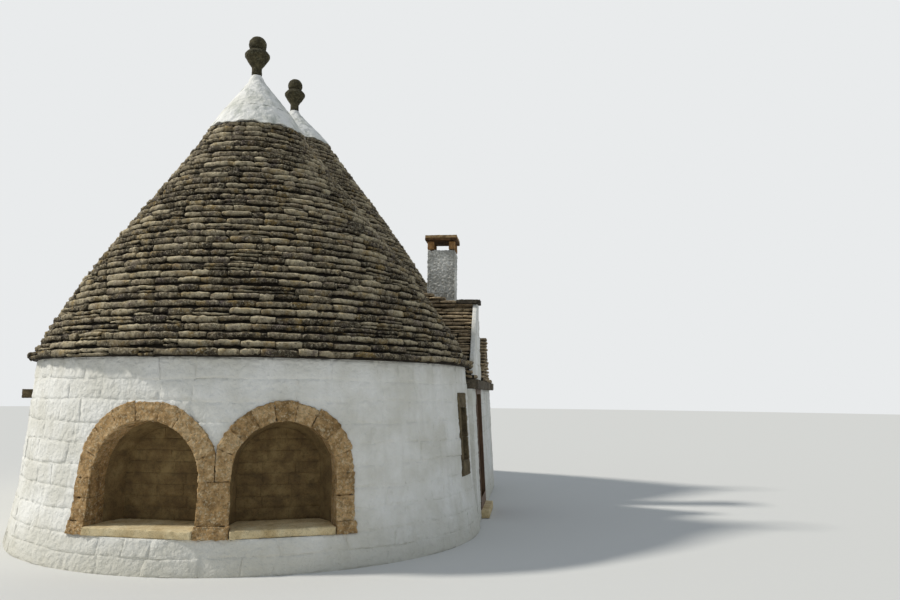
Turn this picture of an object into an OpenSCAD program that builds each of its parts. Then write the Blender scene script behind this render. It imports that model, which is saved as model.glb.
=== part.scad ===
// Trullo house: two round dry-stone rooms under coursed stone cones, joined at the back,
// with a straight entrance front, a gabled slab roof and a chimney on the right.
// Origin: the middle of the front trullo at ground level. The niches face -Y, the entrance faces +X.
// Bearings run from -Y towards +X, seen from above.

/* [Walls] */
// Height of the round walls up to the eaves
wall_h = 2260; // [1900:10:2800]
// Height of the flared foot of the walls
foot_h = 700; // [400:10:1000]
// How far the wall leans out between the eaves and the flared foot
batter = 110; // [0:5:200]
// Further spread of the flared foot at the ground
foot_spread = 120; // [0:5:200]

/* [Front trullo] */
// Outer radius of the front wall at the eaves
front_r = 2930; // [2600:10:3200]
// Thickness of the front trullo's wall at the eaves
front_wall_t = 880; // [780:10:1000]
// Height of the front cone from the eaves to the top of its white cap
front_cone_h = 4460; // [3900:10:5200]
// Height of the front cone's white cap
front_cap_h = 980; // [800:10:1200]
// Sideways drift of the front cone's top, laid by eye, towards -X
front_lean = 345; // [0:5:400]
// Swelling of the front cone's lower half
front_swell = 0.021; // [0:0.001:0.04]

/* [Main trullo] */
// Outer radius of the main wall at the eaves
main_r = 3880; // [3600:10:4100]
// Thickness of the main trullo's wall at the eaves
main_wall_t = 980; // [880:10:1100]
// How far the two round walls run into each other
drum_overlap = 2300; // [2200:10:2400]
// Distance of the main wall's right side behind the entrance front's top edge
main_set_back = 255; // [200:5:350]
// Height of the main cone from the eaves to the top of its white cap
main_cone_h = 5590; // [5000:10:6200]
// Height of the main cone's white cap
main_cap_h = 790; // [650:10:1000]
// Swelling of the main cone's whole flank
main_swell = 0.045; // [0:0.001:0.06]
// Swelling of the main cone's lower half
main_low_swell = 0.005; // [0:0.001:0.02]

/* [Cones] */
// Height of one course of slabs
course_h = 94; // [80:1:110]
// How far the eaves stand out from the wall
eave_out = 115; // [60:5:200]
// Courses in the eaves band, which stand almost upright
eave_courses = 1; // [1:1:3]
// How far the white caps lap over the top course of slabs
cap_lap = 15; // [5:1:40]
// Level thickness of the corbelled shell
shell_t = 800; // [600:10:950]

/* [Pinnacles] */
// Diameter of the ball on the front pinnacle
ball_d = 280; // [220:2:340]
// Diameter of the cup's rim under the ball
cup_d = 392; // [320:2:460]
// Diameter of the neck under the cup
neck_d = 166; // [120:2:200]
// Height of the cup with its neck
cup_h = 395; // [260:5:460]
// How deep the balls sit in the cups
ball_sink = 42; // [10:1:60]
// Size of the main pinnacle as a share of the front one
main_pinnacle = 1.12; // [1:0.01:1.3]

/* [Niches] */
// Bearing of the left niche in degrees
left_bearing = -4.4; // [-6:0.1:-3]
// Half the width of the left niche
left_half_w = 630; // [560:5:660]
// Half the width of the right niche
right_half_w = 560; // [500:5:600]
// Width of the pier between the two niches
pier_w = 338; // [300:2:400]
// Height of the niche crowns above the ground
crown_z = 1575; // [1450:5:1700]
// Height of the sill tops above the ground
sill_z = 460; // [400:5:560]
// Thickness of the sill slabs
sill_t = 95; // [60:5:120]
// Depth of the niches behind the arch stones
niche_depth = 250; // [150:10:300]
// How much each niche narrows on each side towards its back
niche_splay = 90; // [0:5:140]
// Thickness of the block lining round the niches
lining_t = 120; // [80:5:150]
// Width of the arch stones seen from the front
arch_w = 215; // [150:5:240]
// Depth of the arch stones into the wall
arch_depth = 330; // [250:10:400]
// How far the arch stones stand proud of the whitewash
arch_proud = 18; // [5:1:40]
// How far the sills stand out from the wall
sill_out = 45; // [10:5:80]
// Width of wall left between the arch stones and the joints of that stretch of wall
joint_clear = 210; // [150:10:260]

/* [Window] */
// Bearing of the window in degrees
window_bearing = 82; // [78:0.5:86]
// Width of the window opening
window_w = 260; // [200:5:320]
// Height of the window opening
window_h = 700; // [500:10:800]
// Height of the window opening's foot above the ground
window_z = 1000; // [900:10:1100]
// Width of the stone surround on each side
surround_w = 90; // [60:5:120]
// Height of the lintel and of the sill stone of the surround
surround_end = 200; // [100:5:240]
// Depth of the surround stones into the wall
surround_depth = 260; // [150:10:300]
// Thickness of the window's timber
casement_t = 50; // [35:1:70]
// Width of the window's timber seen from the front
casement_w = 38; // [25:1:50]
// Thickness of the window pane
pane_t = 6; // [4:1:10]

/* [Entrance front] */
// How far the entrance front's foot stands out past the front wall at the eaves
front_foot_out = 190; // [170:5:270]
// How far the entrance front's top stands out past the front wall at the eaves
front_top_out = 85; // [70:5:150]
// Place along the front where it leaves the front drum
front_near_y = 400; // [300:10:600]
// Length of the front beyond the main trullo's middle
front_beyond = 780; // [700:10:1300]
// Height of the entrance wall under its cornice
front_wall_h = 1960; // [1900:10:2050]
// Thickness of the cornice slabs
cornice_t = 140; // [90:5:180]
// How far the cornice stands out
cornice_out = 90; // [60:5:260]
// Level depth of the cornice's bed on the wall
cornice_bed = 465; // [300:5:500]

/* [Doorway] */
// Middle of the doorway along the front
door_y = 1600; // [1550:10:1700]
// Width of the passage behind the door
passage_w = 1100; // [1000:10:1200]
// Width of the frame's posts and height of its head
frame_w = 80; // [60:5:100]
// Depth of the frame's inner part, which holds the leaf
frame_depth = 120; // [100:5:160]
// Depth of that part behind the wall's upright face
frame_back = 35; // [20:5:60]
// How far the frame's outer part stands proud of the wall's leaning face
frame_proud = 15; // [0:1:30]
// Thickness of the door leaf
leaf_t = 50; // [40:1:60]
// Gap round the door leaf
leaf_gap = 7; // [6:1:12]
// Thickness of the stone floor
floor_t = 120; // [80:5:150]
// Height of the threshold
threshold_h = 130; // [100:5:160]
// How far the threshold stands out of the wall
threshold_out = 130; // [60:5:200]
// How far the passage's lintel slabs bear on the walls beside it
lintel_bearing = 150; // [100:10:200]

/* [Slab roofs] */
// Height of one course of the thinner slabs on the gables and the skirt roof
gable_course_h = 62; // [50:1:80]
// Half the width of the entrance gable at the cornice
gable_half_w = 900; // [850:10:1000]
// Height of the entrance gable above the cornice
gable_h = 1270; // [1100:10:1400]
// Thickness of the white gable wall
gable_wall_t = 80; // [70:5:160]
// How far the white gable stands above the slabs beside it
verge_h = 45; // [20:5:80]
// Length of the coping slab on the gable's tip
coping_l = 400; // [300:10:450]
// Width of the coping slab
coping_w = 330; // [250:10:400]
// Thickness of the coping slab
coping_t = 80; // [60:5:110]
// How far the coping slab stands out past the gable wall
coping_lap = 50; // [20:5:80]
// Courses of the ridge that climb from the coping slab back to the cones
ridge_courses = 4; // [2:1:5]
// Width of the ridge
ridge_w = 300; // [240:10:400]
// Length by which each course of the ridge falls short of the one below
ridge_step = 190; // [150:10:230]
// Distance of the rear gable's middle before the main trullo's middle
rear_before = 170; // [100:10:250]
// Half the width of the rear gable at the cornice
rear_half_w = 850; // [750:10:930]
// Height of the rear gable above the cornice
rear_h = 870; // [750:10:1100]
// Courses of the skirt roof that climbs from the cornice to the cones
skirt_courses = 4; // [2:1:5]
// How far each course of the skirt roof steps back
skirt_step = 65; // [50:5:100]
// How far the lowest course of the skirt roof stands out past the front's top
skirt_lap = 60; // [20:5:80]

/* [Chimney] */
// Side of the square chimney shaft
chimney_w = 500; // [450:10:560]
// Distance of the chimney's middle behind the entrance front's top
chimney_back = 715; // [690:5:760]
// Gap between the chimney's nearest corner and the front cone's eaves
chimney_gap = 104; // [60:2:160]
// Height of the shaft's top above the ground
chimney_z = 4430; // [4000:10:4800]
// Side of the square flue
flue_w = 260; // [200:10:300]
// Depth of the open flue
flue_depth = 1100; // [800:10:1500]
// Side of the corner stones that carry the cap
corner_w = 120; // [90:5:140]
// Height of the corner stones
corner_h = 155; // [100:5:200]
// Thickness of the chimney's cap slab
cap_t = 105; // [60:5:130]
// How far the cap slab stands out
cap_out = 40; // [20:5:80]

/* [Waterspout] */
// Bearing of the waterspout in degrees
spout_bearing = -62; // [-70:1:-55]
// Width of the waterspout
spout_w = 150; // [110:5:200]
// Height of the waterspout
spout_h = 120; // [90:5:160]
// Height of the waterspout's top above the ground
spout_z = 1900; // [1700:10:2000]
// How far the waterspout stands out
spout_out = 170; // [100:10:300]
// Length of the waterspout inside the wall
spout_bed = 250; // [150:10:350]

/* [Hidden] */
$fn = 360;
whitewash = "whitesmoke";
slab_grey = "dimgray";
tufa = "tan";
lime_block = "wheat";
timber = "saddlebrown";
// Reach of the shapes that cut the walls into stretches
far = 3 * main_r;
front_room_r = front_r - front_wall_t;
main_room_r = main_r - main_wall_t;
front_foot_x = front_r + front_foot_out;
front_top_x = front_r + front_top_out;
axis_gap = front_r + main_r - drum_overlap;
main_left = main_r + main_set_back - front_top_x;
main_back = sqrt(axis_gap ^ 2 - main_left ^ 2);
main_at = [-main_left, main_back];
front_far_y = main_back + front_beyond;
rear_y = main_back - rear_before;
front_eave_r = front_r + eave_out;
main_eave_r = main_r + eave_out;
front_courses = floor((front_cone_h - front_cap_h) / course_h);
main_courses = floor((main_cone_h - main_cap_h) / course_h);
front_courses_top = wall_h + front_courses * course_h;
main_courses_top = wall_h + main_courses * course_h;
// The cap stands over the middle of its own share of the cone's lean
front_cap_x = -front_lean * (front_courses_top - wall_h + front_cone_h) / (2 * front_cone_h);
cornice_z = front_wall_h + cornice_t;
gable_courses = floor(gable_h / gable_course_h);
rear_courses = floor(rear_h / gable_course_h);
gable_top_z = cornice_z + gable_courses * gable_course_h;
low_courses = ceil((gable_top_z + ridge_courses * gable_course_h - wall_h) / course_h);
wall_face_r = front_r + batter;
arch_back_r = wall_face_r - arch_depth;
niche_back_r = arch_back_r - niche_depth;
left_spring_z = crown_z - left_half_w;
right_spring_z = crown_z - right_half_w;
pier_bearing = left_bearing + face_angle(left_half_w + pier_w / 2);
right_bearing = left_bearing + face_angle(left_half_w + pier_w + right_half_w);
// Bearings of the joints between the stretches of the front wall
niche_joint_a = left_bearing - face_angle(left_half_w + arch_w + joint_clear);
window_joint_a = right_bearing + face_angle(right_half_w + arch_w + joint_clear);
passage_joint_a = 97;
left_joint_a = -65;
rear_joint_a = -102;
last_joint_a = -150;
// Bearings of the joints between the stretches of the main wall
main_joints = [45, 105, 155, 205, 255, 345];
passage_z = front_wall_h;
frame_out_x = front_top_x - frame_back;
frame_in_x = frame_out_x - frame_depth;
leaf_out_x = frame_out_x - (frame_depth - leaf_t) / 2;
leaf_y0 = door_y - passage_w / 2 + frame_w + leaf_gap;
leaf_w = passage_w - 2 * frame_w - 2 * leaf_gap;
leaf_z0 = threshold_h + leaf_gap;
leaf_h = passage_z - frame_w - leaf_gap - leaf_z0;
// Bearing of the joint between the two stretches of drum beside the passage, just short of the passage's middle
passage_bearing = 90 + atan2(door_y - passage_w / 10, front_room_r);
// Where the passage and its walls end inside the rooms, and the slab roofs inside the cones
inner_x = round(front_room_r / 7);
gable_back_x = front_top_x / 3;
rear_gable_back_x = front_top_x / 2;
// Length by which a cutting shape runs past the wall's face
clear_run = 2 * (batter + foot_spread);
chimney_x = front_top_x - chimney_back;
chimney_y = chimney_w / 2 + sqrt((front_eave_r + chimney_gap) ^ 2 - (chimney_x - chimney_w / 2) ^ 2);
// Share of its eaves' radius that a cone of slabs would keep at the cap's top, and how much it loses on the way there
tip_share = 0.0385;
flank_run = 0.958;

// Bearing that a length along the front wall's face covers
function face_angle(length) = length / wall_face_r * 180 / PI;

// Distance of the entrance front's leaning face at a height
function front_face_x(z) = front_foot_x + (front_top_x - front_foot_x) * z / front_wall_h;

// Radius of a cone of slabs as a share of its eaves, where t runs from 0 at the eaves to 1 at the cap's top
function flank(t, low, whole) =
    min(1, tip_share + flank_run * (1 - t) + low * sin(360 * t) + whole * sin(180 * t));
function front_course_r(i) =
    i < eave_courses ? front_eave_r : front_eave_r * flank((i + 0.5) * course_h / front_cone_h, front_swell, 0);
function main_course_r(i) =
    i < eave_courses ? main_eave_r : main_eave_r * flank((i + 0.5) * course_h / main_cone_h, main_low_swell, main_swell);
function front_drift(i) = -front_lean * i * course_h / front_cone_h;
function front_void_r(i) = min(front_room_r, front_course_r(i) - shell_t);
function main_void_r(i) = min(main_room_r, main_course_r(i) - shell_t);

// Turns a piece so that its +X points outwards along a bearing of the front trullo
module bearing(a) {
    rotate([0, 0, a - 90]) children();
}

// The round wall's outer shape as a solid drum
module drum(top_r, proud = 0) {
    rotate_extrude()
        polygon([
            [0, 0], [top_r + batter + foot_spread + proud, 0], [top_r + batter + proud, foot_h],
            [top_r + proud, wall_h], [0, wall_h]
        ]);
}

module front_drum(proud = 0) {
    drum(front_r, proud);
}

module main_drum() {
    translate(main_at) drum(main_r);
}

module rooms() {
    translate([0, 0, -1]) cylinder(r = front_room_r, h = wall_h + 2);
    translate([main_at[0], main_at[1], -1]) cylinder(r = main_room_r, h = wall_h + 2);
}

module passage() {
    translate([inner_x, door_y - passage_w / 2, -1]) cube([front_foot_x, passage_w, passage_z + 1]);
}

// A standing wedge between two bearings about the front trullo's middle
module wedge(a0, a1) {
    reach = far / cos((a1 - a0) / 2);
    translate([0, 0, -1]) linear_extrude(wall_h + 2)
        polygon([[0, 0], far * [sin(a0), -cos(a0)], reach * [sin((a0 + a1) / 2), -cos((a0 + a1) / 2)],
                 far * [sin(a1), -cos(a1)]]);
}

// A stretch of the front trullo's round wall
module front_wall(a0, a1) {
    intersection() {
        difference() {
            front_drum();
            rooms();
            passage();
            passage_lintel_bed();
        }
        wedge(a0, a1);
    }
}

// A stretch of the main trullo's round wall, cut off where it meets the front drum
module main_wall(a0, a1) {
    difference() {
        intersection() {
            main_drum();
            translate(main_at) wedge(a0, a1);
        }
        rooms();
        front_drum();
        passage();
        passage_lintel_bed();
    }
}

// A half-round vault along +X that springs from the level plane, narrower at the back where r_back is less
module vault(r_back, r_front, depth) {
    rotate([0, 90, 0]) rotate([0, 0, 90]) rotate_extrude(angle = 180)
        polygon([[0, 0], [r_back, 0], [r_front, depth], [0, depth]]);
}

// The shape of a niche: straight splayed jambs under a round vault that narrows towards the back
module niche_shape(half_w, spring_z, x_back, x_front, splay, grow, z_foot) {
    translate([0, 0, z_foot]) linear_extrude(spring_z - z_foot)
        polygon([[x_back, -half_w + splay - grow], [x_front, -half_w - grow],
                 [x_front, half_w + grow], [x_back, half_w - splay + grow]]);
    translate([x_back, 0, spring_z]) vault(half_w - splay + grow, half_w + grow, x_front - x_back);
}

// The open part of a niche behind its arch stones, which runs 1 mm past their back on the same splay
module niche_recess(half_w, spring_z) {
    flare = niche_splay / niche_depth;
    niche_shape(half_w + flare, spring_z, niche_back_r, arch_back_r + 1, niche_splay + flare, 0, sill_z - sill_t - 1);
}

module niche_lining(half_w, spring_z) {
    difference() {
        niche_shape(half_w, spring_z, niche_back_r - lining_t, arch_back_r, niche_splay, lining_t, sill_z - sill_t);
        niche_recess(half_w, spring_z);
    }
}

// The round head and the jambs of a row of arch stones, before they are trimmed to the wall's face
module arch_block(half_w, spring_z) {
    translate([arch_back_r, -half_w - arch_w, sill_z - sill_t])
        cube([arch_depth + clear_run, 2 * (half_w + arch_w), spring_z - sill_z + sill_t]);
    translate([arch_back_r, 0, spring_z]) vault(half_w + arch_w, half_w + arch_w, arch_depth + clear_run);
}

module arch_opening(half_w, spring_z) {
    translate([arch_back_r - 1, -half_w, sill_z - sill_t - 1])
        cube([arch_depth + clear_run + 2, 2 * half_w, spring_z - sill_z + sill_t + 1]);
    translate([arch_back_r - 1, 0, spring_z]) vault(half_w, half_w, arch_depth + clear_run + 2);
}

// Everything cut out of the wall for one niche
module niche_cut(a, half_w, spring_z) {
    bearing(a) {
        niche_shape(half_w, spring_z, niche_back_r - lining_t, arch_back_r, niche_splay, lining_t, sill_z - sill_t);
        arch_block(half_w, spring_z);
    }
}

module left_niche_wall() {
    color(whitewash) difference() {
        front_wall(niche_joint_a, pier_bearing);
        niche_cut(left_bearing, left_half_w, left_spring_z);
    }
}

module right_niche_wall() {
    color(whitewash) difference() {
        front_wall(pier_bearing, window_joint_a);
        niche_cut(right_bearing, right_half_w, right_spring_z);
    }
}

module arch(a, half_w, spring_z, side_a0, side_a1) {
    color(tufa) intersection() {
        bearing(a) difference() {
            arch_block(half_w, spring_z);
            arch_opening(half_w, spring_z);
        }
        front_drum(arch_proud);
        wedge(side_a0, side_a1);
    }
}

module pier_zone() {
    bearing(pier_bearing) translate([0, -arch_w, sill_z - sill_t])
        cube([far, 2 * arch_w, min(left_spring_z, right_spring_z) - sill_z + sill_t]);
}

module left_arch() {
    difference() {
        arch(left_bearing, left_half_w, left_spring_z, left_joint_a, pier_bearing);
        pier_zone();
    }
}

module right_arch() {
    difference() {
        arch(right_bearing, right_half_w, right_spring_z, pier_bearing, 90);
        pier_zone();
    }
}

// The bed of the pier's blocks, in line with the backs of the arch stones
module pier_bed() {
    bearing(pier_bearing) translate([arch_back_r, -arch_w, 0]) cube([arch_depth + clear_run, 2 * arch_w, wall_h]);
}

// The one rough block and base block that both arches stand on
module niche_pier() {
    color(tufa) intersection() {
        pier_zone();
        difference() {
            pier_bed();
            bearing(left_bearing) {
                arch_opening(left_half_w, left_spring_z);
                niche_recess(left_half_w, left_spring_z);
            }
            bearing(right_bearing) {
                arch_opening(right_half_w, right_spring_z);
                niche_recess(right_half_w, right_spring_z);
            }
        }
        front_drum(arch_proud);
    }
}

// A niche's block lining up to the joint over the pier
module niche_side(a, half_w, spring_z, side_a0, side_a1) {
    color(lime_block) difference() {
        intersection() {
            bearing(a) niche_lining(half_w, spring_z);
            wedge(side_a0, side_a1);
        }
        intersection() {
            pier_bed();
            pier_zone();
        }
    }
}

module left_niche() {
    niche_side(left_bearing, left_half_w, left_spring_z, left_joint_a, pier_bearing);
}

module right_niche() {
    niche_side(right_bearing, right_half_w, right_spring_z, pier_bearing, 90);
}

module sill(a, half_w) {
    color(lime_block) bearing(a) translate([niche_back_r, 0, sill_z - sill_t]) linear_extrude(sill_t)
        polygon([[0, -half_w + niche_splay], [niche_depth, -half_w], [wall_face_r - niche_back_r + sill_out, -half_w],
                 [wall_face_r - niche_back_r + sill_out, half_w], [niche_depth, half_w], [0, half_w - niche_splay]]);
}

module left_sill() {
    sill(left_bearing, left_half_w);
}

module right_sill() {
    sill(right_bearing, right_half_w);
}

module window_hole(grow_w, grow_z, x0, x1) {
    bearing(window_bearing) translate([x0, -window_w / 2 - grow_w, window_z - grow_z])
        cube([x1 - x0, window_w + 2 * grow_w, window_h + 2 * grow_z]);
}

module window_wall() {
    color(whitewash) difference() {
        front_wall(window_joint_a, passage_joint_a);
        window_hole(0, 0, front_room_r - clear_run, far);
        window_hole(surround_w, surround_end, front_r - surround_depth, far);
    }
}

module window_surround() {
    color(tufa) intersection() {
        difference() {
            window_hole(surround_w, surround_end, front_r - surround_depth, far);
            window_hole(0, 0, front_r - surround_depth - 1, far + 1);
        }
        front_drum(arch_proud);
    }
}

module window_casement() {
    x0 = front_r - surround_depth - casement_t;
    color(timber) difference() {
        window_hole(0, 0, x0, x0 + casement_t);
        window_hole(-casement_w, -casement_w, x0 - 1, x0 + casement_t + 1);
    }
}

module window_pane() {
    x0 = front_r - surround_depth - casement_t / 2 - pane_t / 2;
    color("lightblue") window_hole(-casement_w, -casement_w, x0, x0 + pane_t);
}

module spout_block() {
    bearing(spout_bearing) translate([front_r - spout_bed, -spout_w / 2, spout_z - spout_h])
        cube([spout_bed + spout_out, spout_w, spout_h]);
}

module waterspout() {
    color(tufa) difference() {
        spout_block();
        bearing(spout_bearing) translate([front_r, 0, spout_z]) rotate([0, 90, 0])
            cylinder(r = spout_w / 4, h = 2 * spout_out);
    }
}

module passage_front_wall() {
    color(whitewash) front_wall(passage_joint_a, passage_bearing);
}

module passage_back_wall() {
    color(whitewash) front_wall(passage_bearing, 180);
}

module front_left_wall() {
    color(whitewash) difference() {
        front_wall(left_joint_a, niche_joint_a);
        spout_block();
    }
}

module left_wall() {
    color(whitewash) difference() {
        front_wall(rear_joint_a, left_joint_a);
        spout_block();
    }
}

module rear_left_wall() {
    color(whitewash) front_wall(last_joint_a, rear_joint_a);
}

module main_right_wall() {
    color(whitewash) main_wall(main_joints[0], main_joints[1]);
}

module main_rear_right_wall() {
    color(whitewash) main_wall(main_joints[1], main_joints[2]);
}

module main_rear_wall() {
    color(whitewash) main_wall(main_joints[2], main_joints[3]);
}

module main_rear_left_wall() {
    color(whitewash) main_wall(main_joints[3], main_joints[4]);
}

module main_left_wall() {
    color(whitewash) main_wall(main_joints[4], main_joints[5]);
}

// The straight entrance front between the two drums, stepped at the top to bed the cornice
module entrance_wall(y0, y1) {
    color(whitewash) difference() {
        translate([0, y1, 0]) rotate([90, 0, 0]) linear_extrude(y1 - y0)
            polygon([[inner_x, 0], [front_foot_x, 0], [front_top_x, front_wall_h],
                     [front_top_x - cornice_bed, front_wall_h], [front_top_x - cornice_bed, wall_h], [inner_x, wall_h]]);
        front_drum();
        main_drum();
        rooms();
        passage_lintel_bed();
    }
}

module entrance_wall_near() {
    entrance_wall(front_near_y, door_y - passage_w / 2);
}

module entrance_wall_far() {
    entrance_wall(door_y + passage_w / 2, front_far_y);
}

// The seat of the slabs over the passage
module passage_lintel_bed() {
    translate([inner_x, door_y - passage_w / 2 - lintel_bearing, passage_z])
        cube([front_top_x - cornice_bed - inner_x, passage_w + 2 * lintel_bearing, wall_h - passage_z + 1]);
}

module passage_lintel() {
    color(lime_block) difference() {
        translate([inner_x, door_y - passage_w / 2 - lintel_bearing, passage_z])
            cube([front_top_x - cornice_bed - inner_x, passage_w + 2 * lintel_bearing, wall_h - passage_z]);
        rooms();
    }
}

module cornice() {
    color(slab_grey) difference() {
        translate([front_top_x - cornice_bed, front_near_y, front_wall_h])
            cube([cornice_bed + cornice_out, front_far_y - front_near_y, cornice_t]);
        front_drum();
        main_drum();
    }
}

// One course of a cone as a full disc
module front_disc(i) {
    translate([front_drift(i), 0, wall_h + i * course_h]) cylinder(r = front_course_r(i), h = course_h);
}

module main_disc(i) {
    translate([main_at[0], main_at[1], wall_h + i * course_h]) cylinder(r = main_course_r(i), h = course_h);
}

module front_void(i) {
    if (front_void_r(i) > 0)
        translate([front_drift(i), 0, wall_h + i * course_h - 1]) cylinder(r = front_void_r(i), h = course_h + 2);
}

module main_void(i) {
    if (main_void_r(i) > 0)
        translate([main_at[0], main_at[1], wall_h + i * course_h - 1]) cylinder(r = main_void_r(i), h = course_h + 2);
}

// Courses of the front cone: corbelled rings, each a little smaller than the one below
module front_rings(first, last) {
    color(slab_grey) for (i = [first:last]) difference() {
        front_disc(i);
        front_void(i);
        if (front_course_r(i) + main_void_r(i) + front_lean > axis_gap) main_void(i);
    }
}

// Courses of the main cone, which butt against the front cone
module main_rings(first, last) {
    color(slab_grey) difference() {
        for (i = [first:last]) difference() {
            main_disc(i);
            main_void(i);
            if (front_course_r(i) + main_course_r(i) + front_lean > axis_gap) front_disc(i);
        }
        chimney_block();
    }
}

module front_eaves() {
    front_rings(0, eave_courses - 1);
}

module front_cone() {
    front_rings(eave_courses, front_courses - 1);
}

module main_eaves() {
    main_rings(0, eave_courses - 1);
}

module main_cone() {
    main_rings(eave_courses, main_courses - 1);
}

// A plastered cap: its skirt laps the top course, its flank swells a little and then hollows towards the neck
module cap(base_r, h, neck_r) {
    color(whitewash) rotate_extrude()
        polygon([[0, 0], [base_r, 0], [base_r * 0.73, h * 0.32], [base_r * 0.34, h * 0.715], [neck_r * 1.7, h * 0.87],
                 [neck_r, h], [0, h]]);
}

// A turned stone cup: neck, flaring bowl and rim, with a round seat for the ball
module cup(s) {
    color(tufa) difference() {
        rotate_extrude() scale(s)
            polygon([[0, 0], [neck_d / 2, 0], [neck_d * 0.48, cup_h * 0.3], [cup_d * 0.34, cup_h * 0.5],
                     [cup_d * 0.49, cup_h * 0.74], [cup_d / 2, cup_h * 0.84], [cup_d * 0.37, cup_h], [0, cup_h]]);
        translate([0, 0, s * (cup_h + ball_d / 2 - ball_sink)]) sphere(d = s * ball_d, $fn = 96);
    }
}

module front_cap() {
    translate([front_cap_x, 0, front_courses_top])
        cap(front_course_r(front_courses - 1) + cap_lap, wall_h + front_cone_h - front_courses_top, neck_d / 2);
}

module front_cup() {
    translate([front_cap_x, 0, wall_h + front_cone_h]) cup(1);
}

module front_ball() {
    color(tufa) translate([front_cap_x, 0, wall_h + front_cone_h + cup_h + ball_d / 2 - ball_sink])
        sphere(d = ball_d, $fn = 96);
}

module main_cap() {
    translate([main_at[0], main_at[1], main_courses_top])
        cap(main_course_r(main_courses - 1) + cap_lap, wall_h + main_cone_h - main_courses_top, main_pinnacle * neck_d / 2);
}

module main_cup() {
    translate([main_at[0], main_at[1], wall_h + main_cone_h]) cup(main_pinnacle);
}

module main_ball() {
    color(tufa) translate([main_at[0], main_at[1],
                           wall_h + main_cone_h + main_pinnacle * (cup_h + ball_d / 2 - ball_sink)])
        sphere(d = main_pinnacle * ball_d, $fn = 96);
}

// The lowest courses of both cones as solid discs, which the slab roofs butt against
module low_cones() {
    for (i = [0:low_courses]) {
        front_disc(i);
        main_disc(i);
    }
    front_drum();
    main_drum();
}

// The outline of a gable laid in level courses
module gable_steps(half_w, h, courses) {
    for (i = [0:courses - 1])
        translate([-half_w * (1 - i * gable_course_h / h), i * gable_course_h])
            square([2 * half_w * (1 - i * gable_course_h / h), gable_course_h]);
}

// A gabled slab roof that runs back from the entrance front into the cones
module gabled_roof(y, half_w, h, courses, x0, x1) {
    translate([x0, y, cornice_z]) rotate([90, 0, 90]) linear_extrude(x1 - x0) gable_steps(half_w, h, courses);
}

// The ridge over the entrance, which rises in steps from the back of the coping slab towards the cones
module ridge() {
    for (i = [0:ridge_courses - 1])
        translate([gable_back_x, door_y - ridge_w / 2, gable_top_z + i * gable_course_h])
            cube([front_top_x + coping_lap - coping_l - i * ridge_step - gable_back_x, ridge_w, gable_course_h]);
}

module entrance_gable() {
    gabled_roof(door_y, gable_half_w, gable_h, gable_courses, gable_back_x, front_top_x - gable_wall_t);
    ridge();
}

module rear_gable() {
    gabled_roof(rear_y, rear_half_w, rear_h, rear_courses, rear_gable_back_x, front_top_x);
}

module roof_beds() {
    low_cones();
    passage_lintel_bed();
    translate([inner_x, front_near_y, front_wall_h])
        cube([front_top_x - cornice_bed - inner_x, front_far_y - front_near_y, wall_h - front_wall_h]);
    chimney_block();
}

module gable_roof() {
    color(slab_grey) difference() {
        entrance_gable();
        roof_beds();
    }
}

module rear_gable_roof() {
    color(slab_grey) difference() {
        rear_gable();
        roof_beds();
    }
}

module gable_wall() {
    foot = gable_half_w + verge_h;
    tip = gable_half_w * (1 - (gable_courses - 1) * gable_course_h / gable_h) + verge_h;
    color(whitewash) difference() {
        translate([front_top_x - gable_wall_t, door_y, cornice_z]) rotate([90, 0, 90]) linear_extrude(gable_wall_t)
            polygon([[-foot, 0], [-tip, gable_top_z - cornice_z], [tip, gable_top_z - cornice_z], [foot, 0]]);
        low_cones();
    }
}

module gable_coping() {
    color(slab_grey) translate([front_top_x - coping_l + coping_lap, door_y - coping_w / 2, gable_top_z])
        cube([coping_l, coping_w, coping_t]);
}

// Low courses that climb from the cornice back to the feet of the cones
module skirt_roof() {
    color(slab_grey) difference() {
        for (i = [0:skirt_courses - 1])
            translate([gable_back_x, front_near_y, cornice_z + i * gable_course_h])
                cube([front_top_x + skirt_lap - i * skirt_step - gable_back_x, front_far_y - front_near_y,
                      gable_course_h]);
        roof_beds();
        entrance_gable();
        rear_gable();
        translate([front_top_x - gable_wall_t, door_y - gable_half_w - verge_h, cornice_z - 1])
            cube([far, 2 * (gable_half_w + verge_h), skirt_courses * gable_course_h + 2]);
    }
}

module chimney_block() {
    translate([chimney_x - chimney_w / 2, chimney_y - chimney_w / 2, wall_h])
        cube([chimney_w, chimney_w, chimney_z - wall_h]);
}

module chimney_shaft() {
    color(whitewash) difference() {
        chimney_block();
        translate([chimney_x - flue_w / 2, chimney_y - flue_w / 2, chimney_z - flue_depth])
            cube([flue_w, flue_w, flue_depth + 1]);
    }
}

module chimney_corners() {
    color(tufa) for (sx = [-1, 1], sy = [-1, 1])
        translate([chimney_x + sx * (chimney_w - corner_w) / 2 - corner_w / 2,
                   chimney_y + sy * (chimney_w - corner_w) / 2 - corner_w / 2, chimney_z])
            cube([corner_w, corner_w, corner_h]);
}

module chimney_cap() {
    side = chimney_w + 2 * cap_out;
    color(tufa) translate([chimney_x - side / 2, chimney_y - side / 2, chimney_z + corner_h])
        cube([side, side, cap_t]);
}

module floor() {
    color(lime_block) {
        cylinder(r = front_room_r, h = floor_t);
        translate(main_at) cylinder(r = main_room_r, h = floor_t);
        translate([inner_x, door_y - passage_w / 2, 0]) cube([frame_in_x - inner_x, passage_w, floor_t]);
    }
}

module threshold() {
    color(lime_block) translate([frame_in_x, door_y - passage_w / 2, 0])
        cube([front_foot_x + threshold_out - frame_in_x, passage_w, threshold_h]);
}

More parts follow.
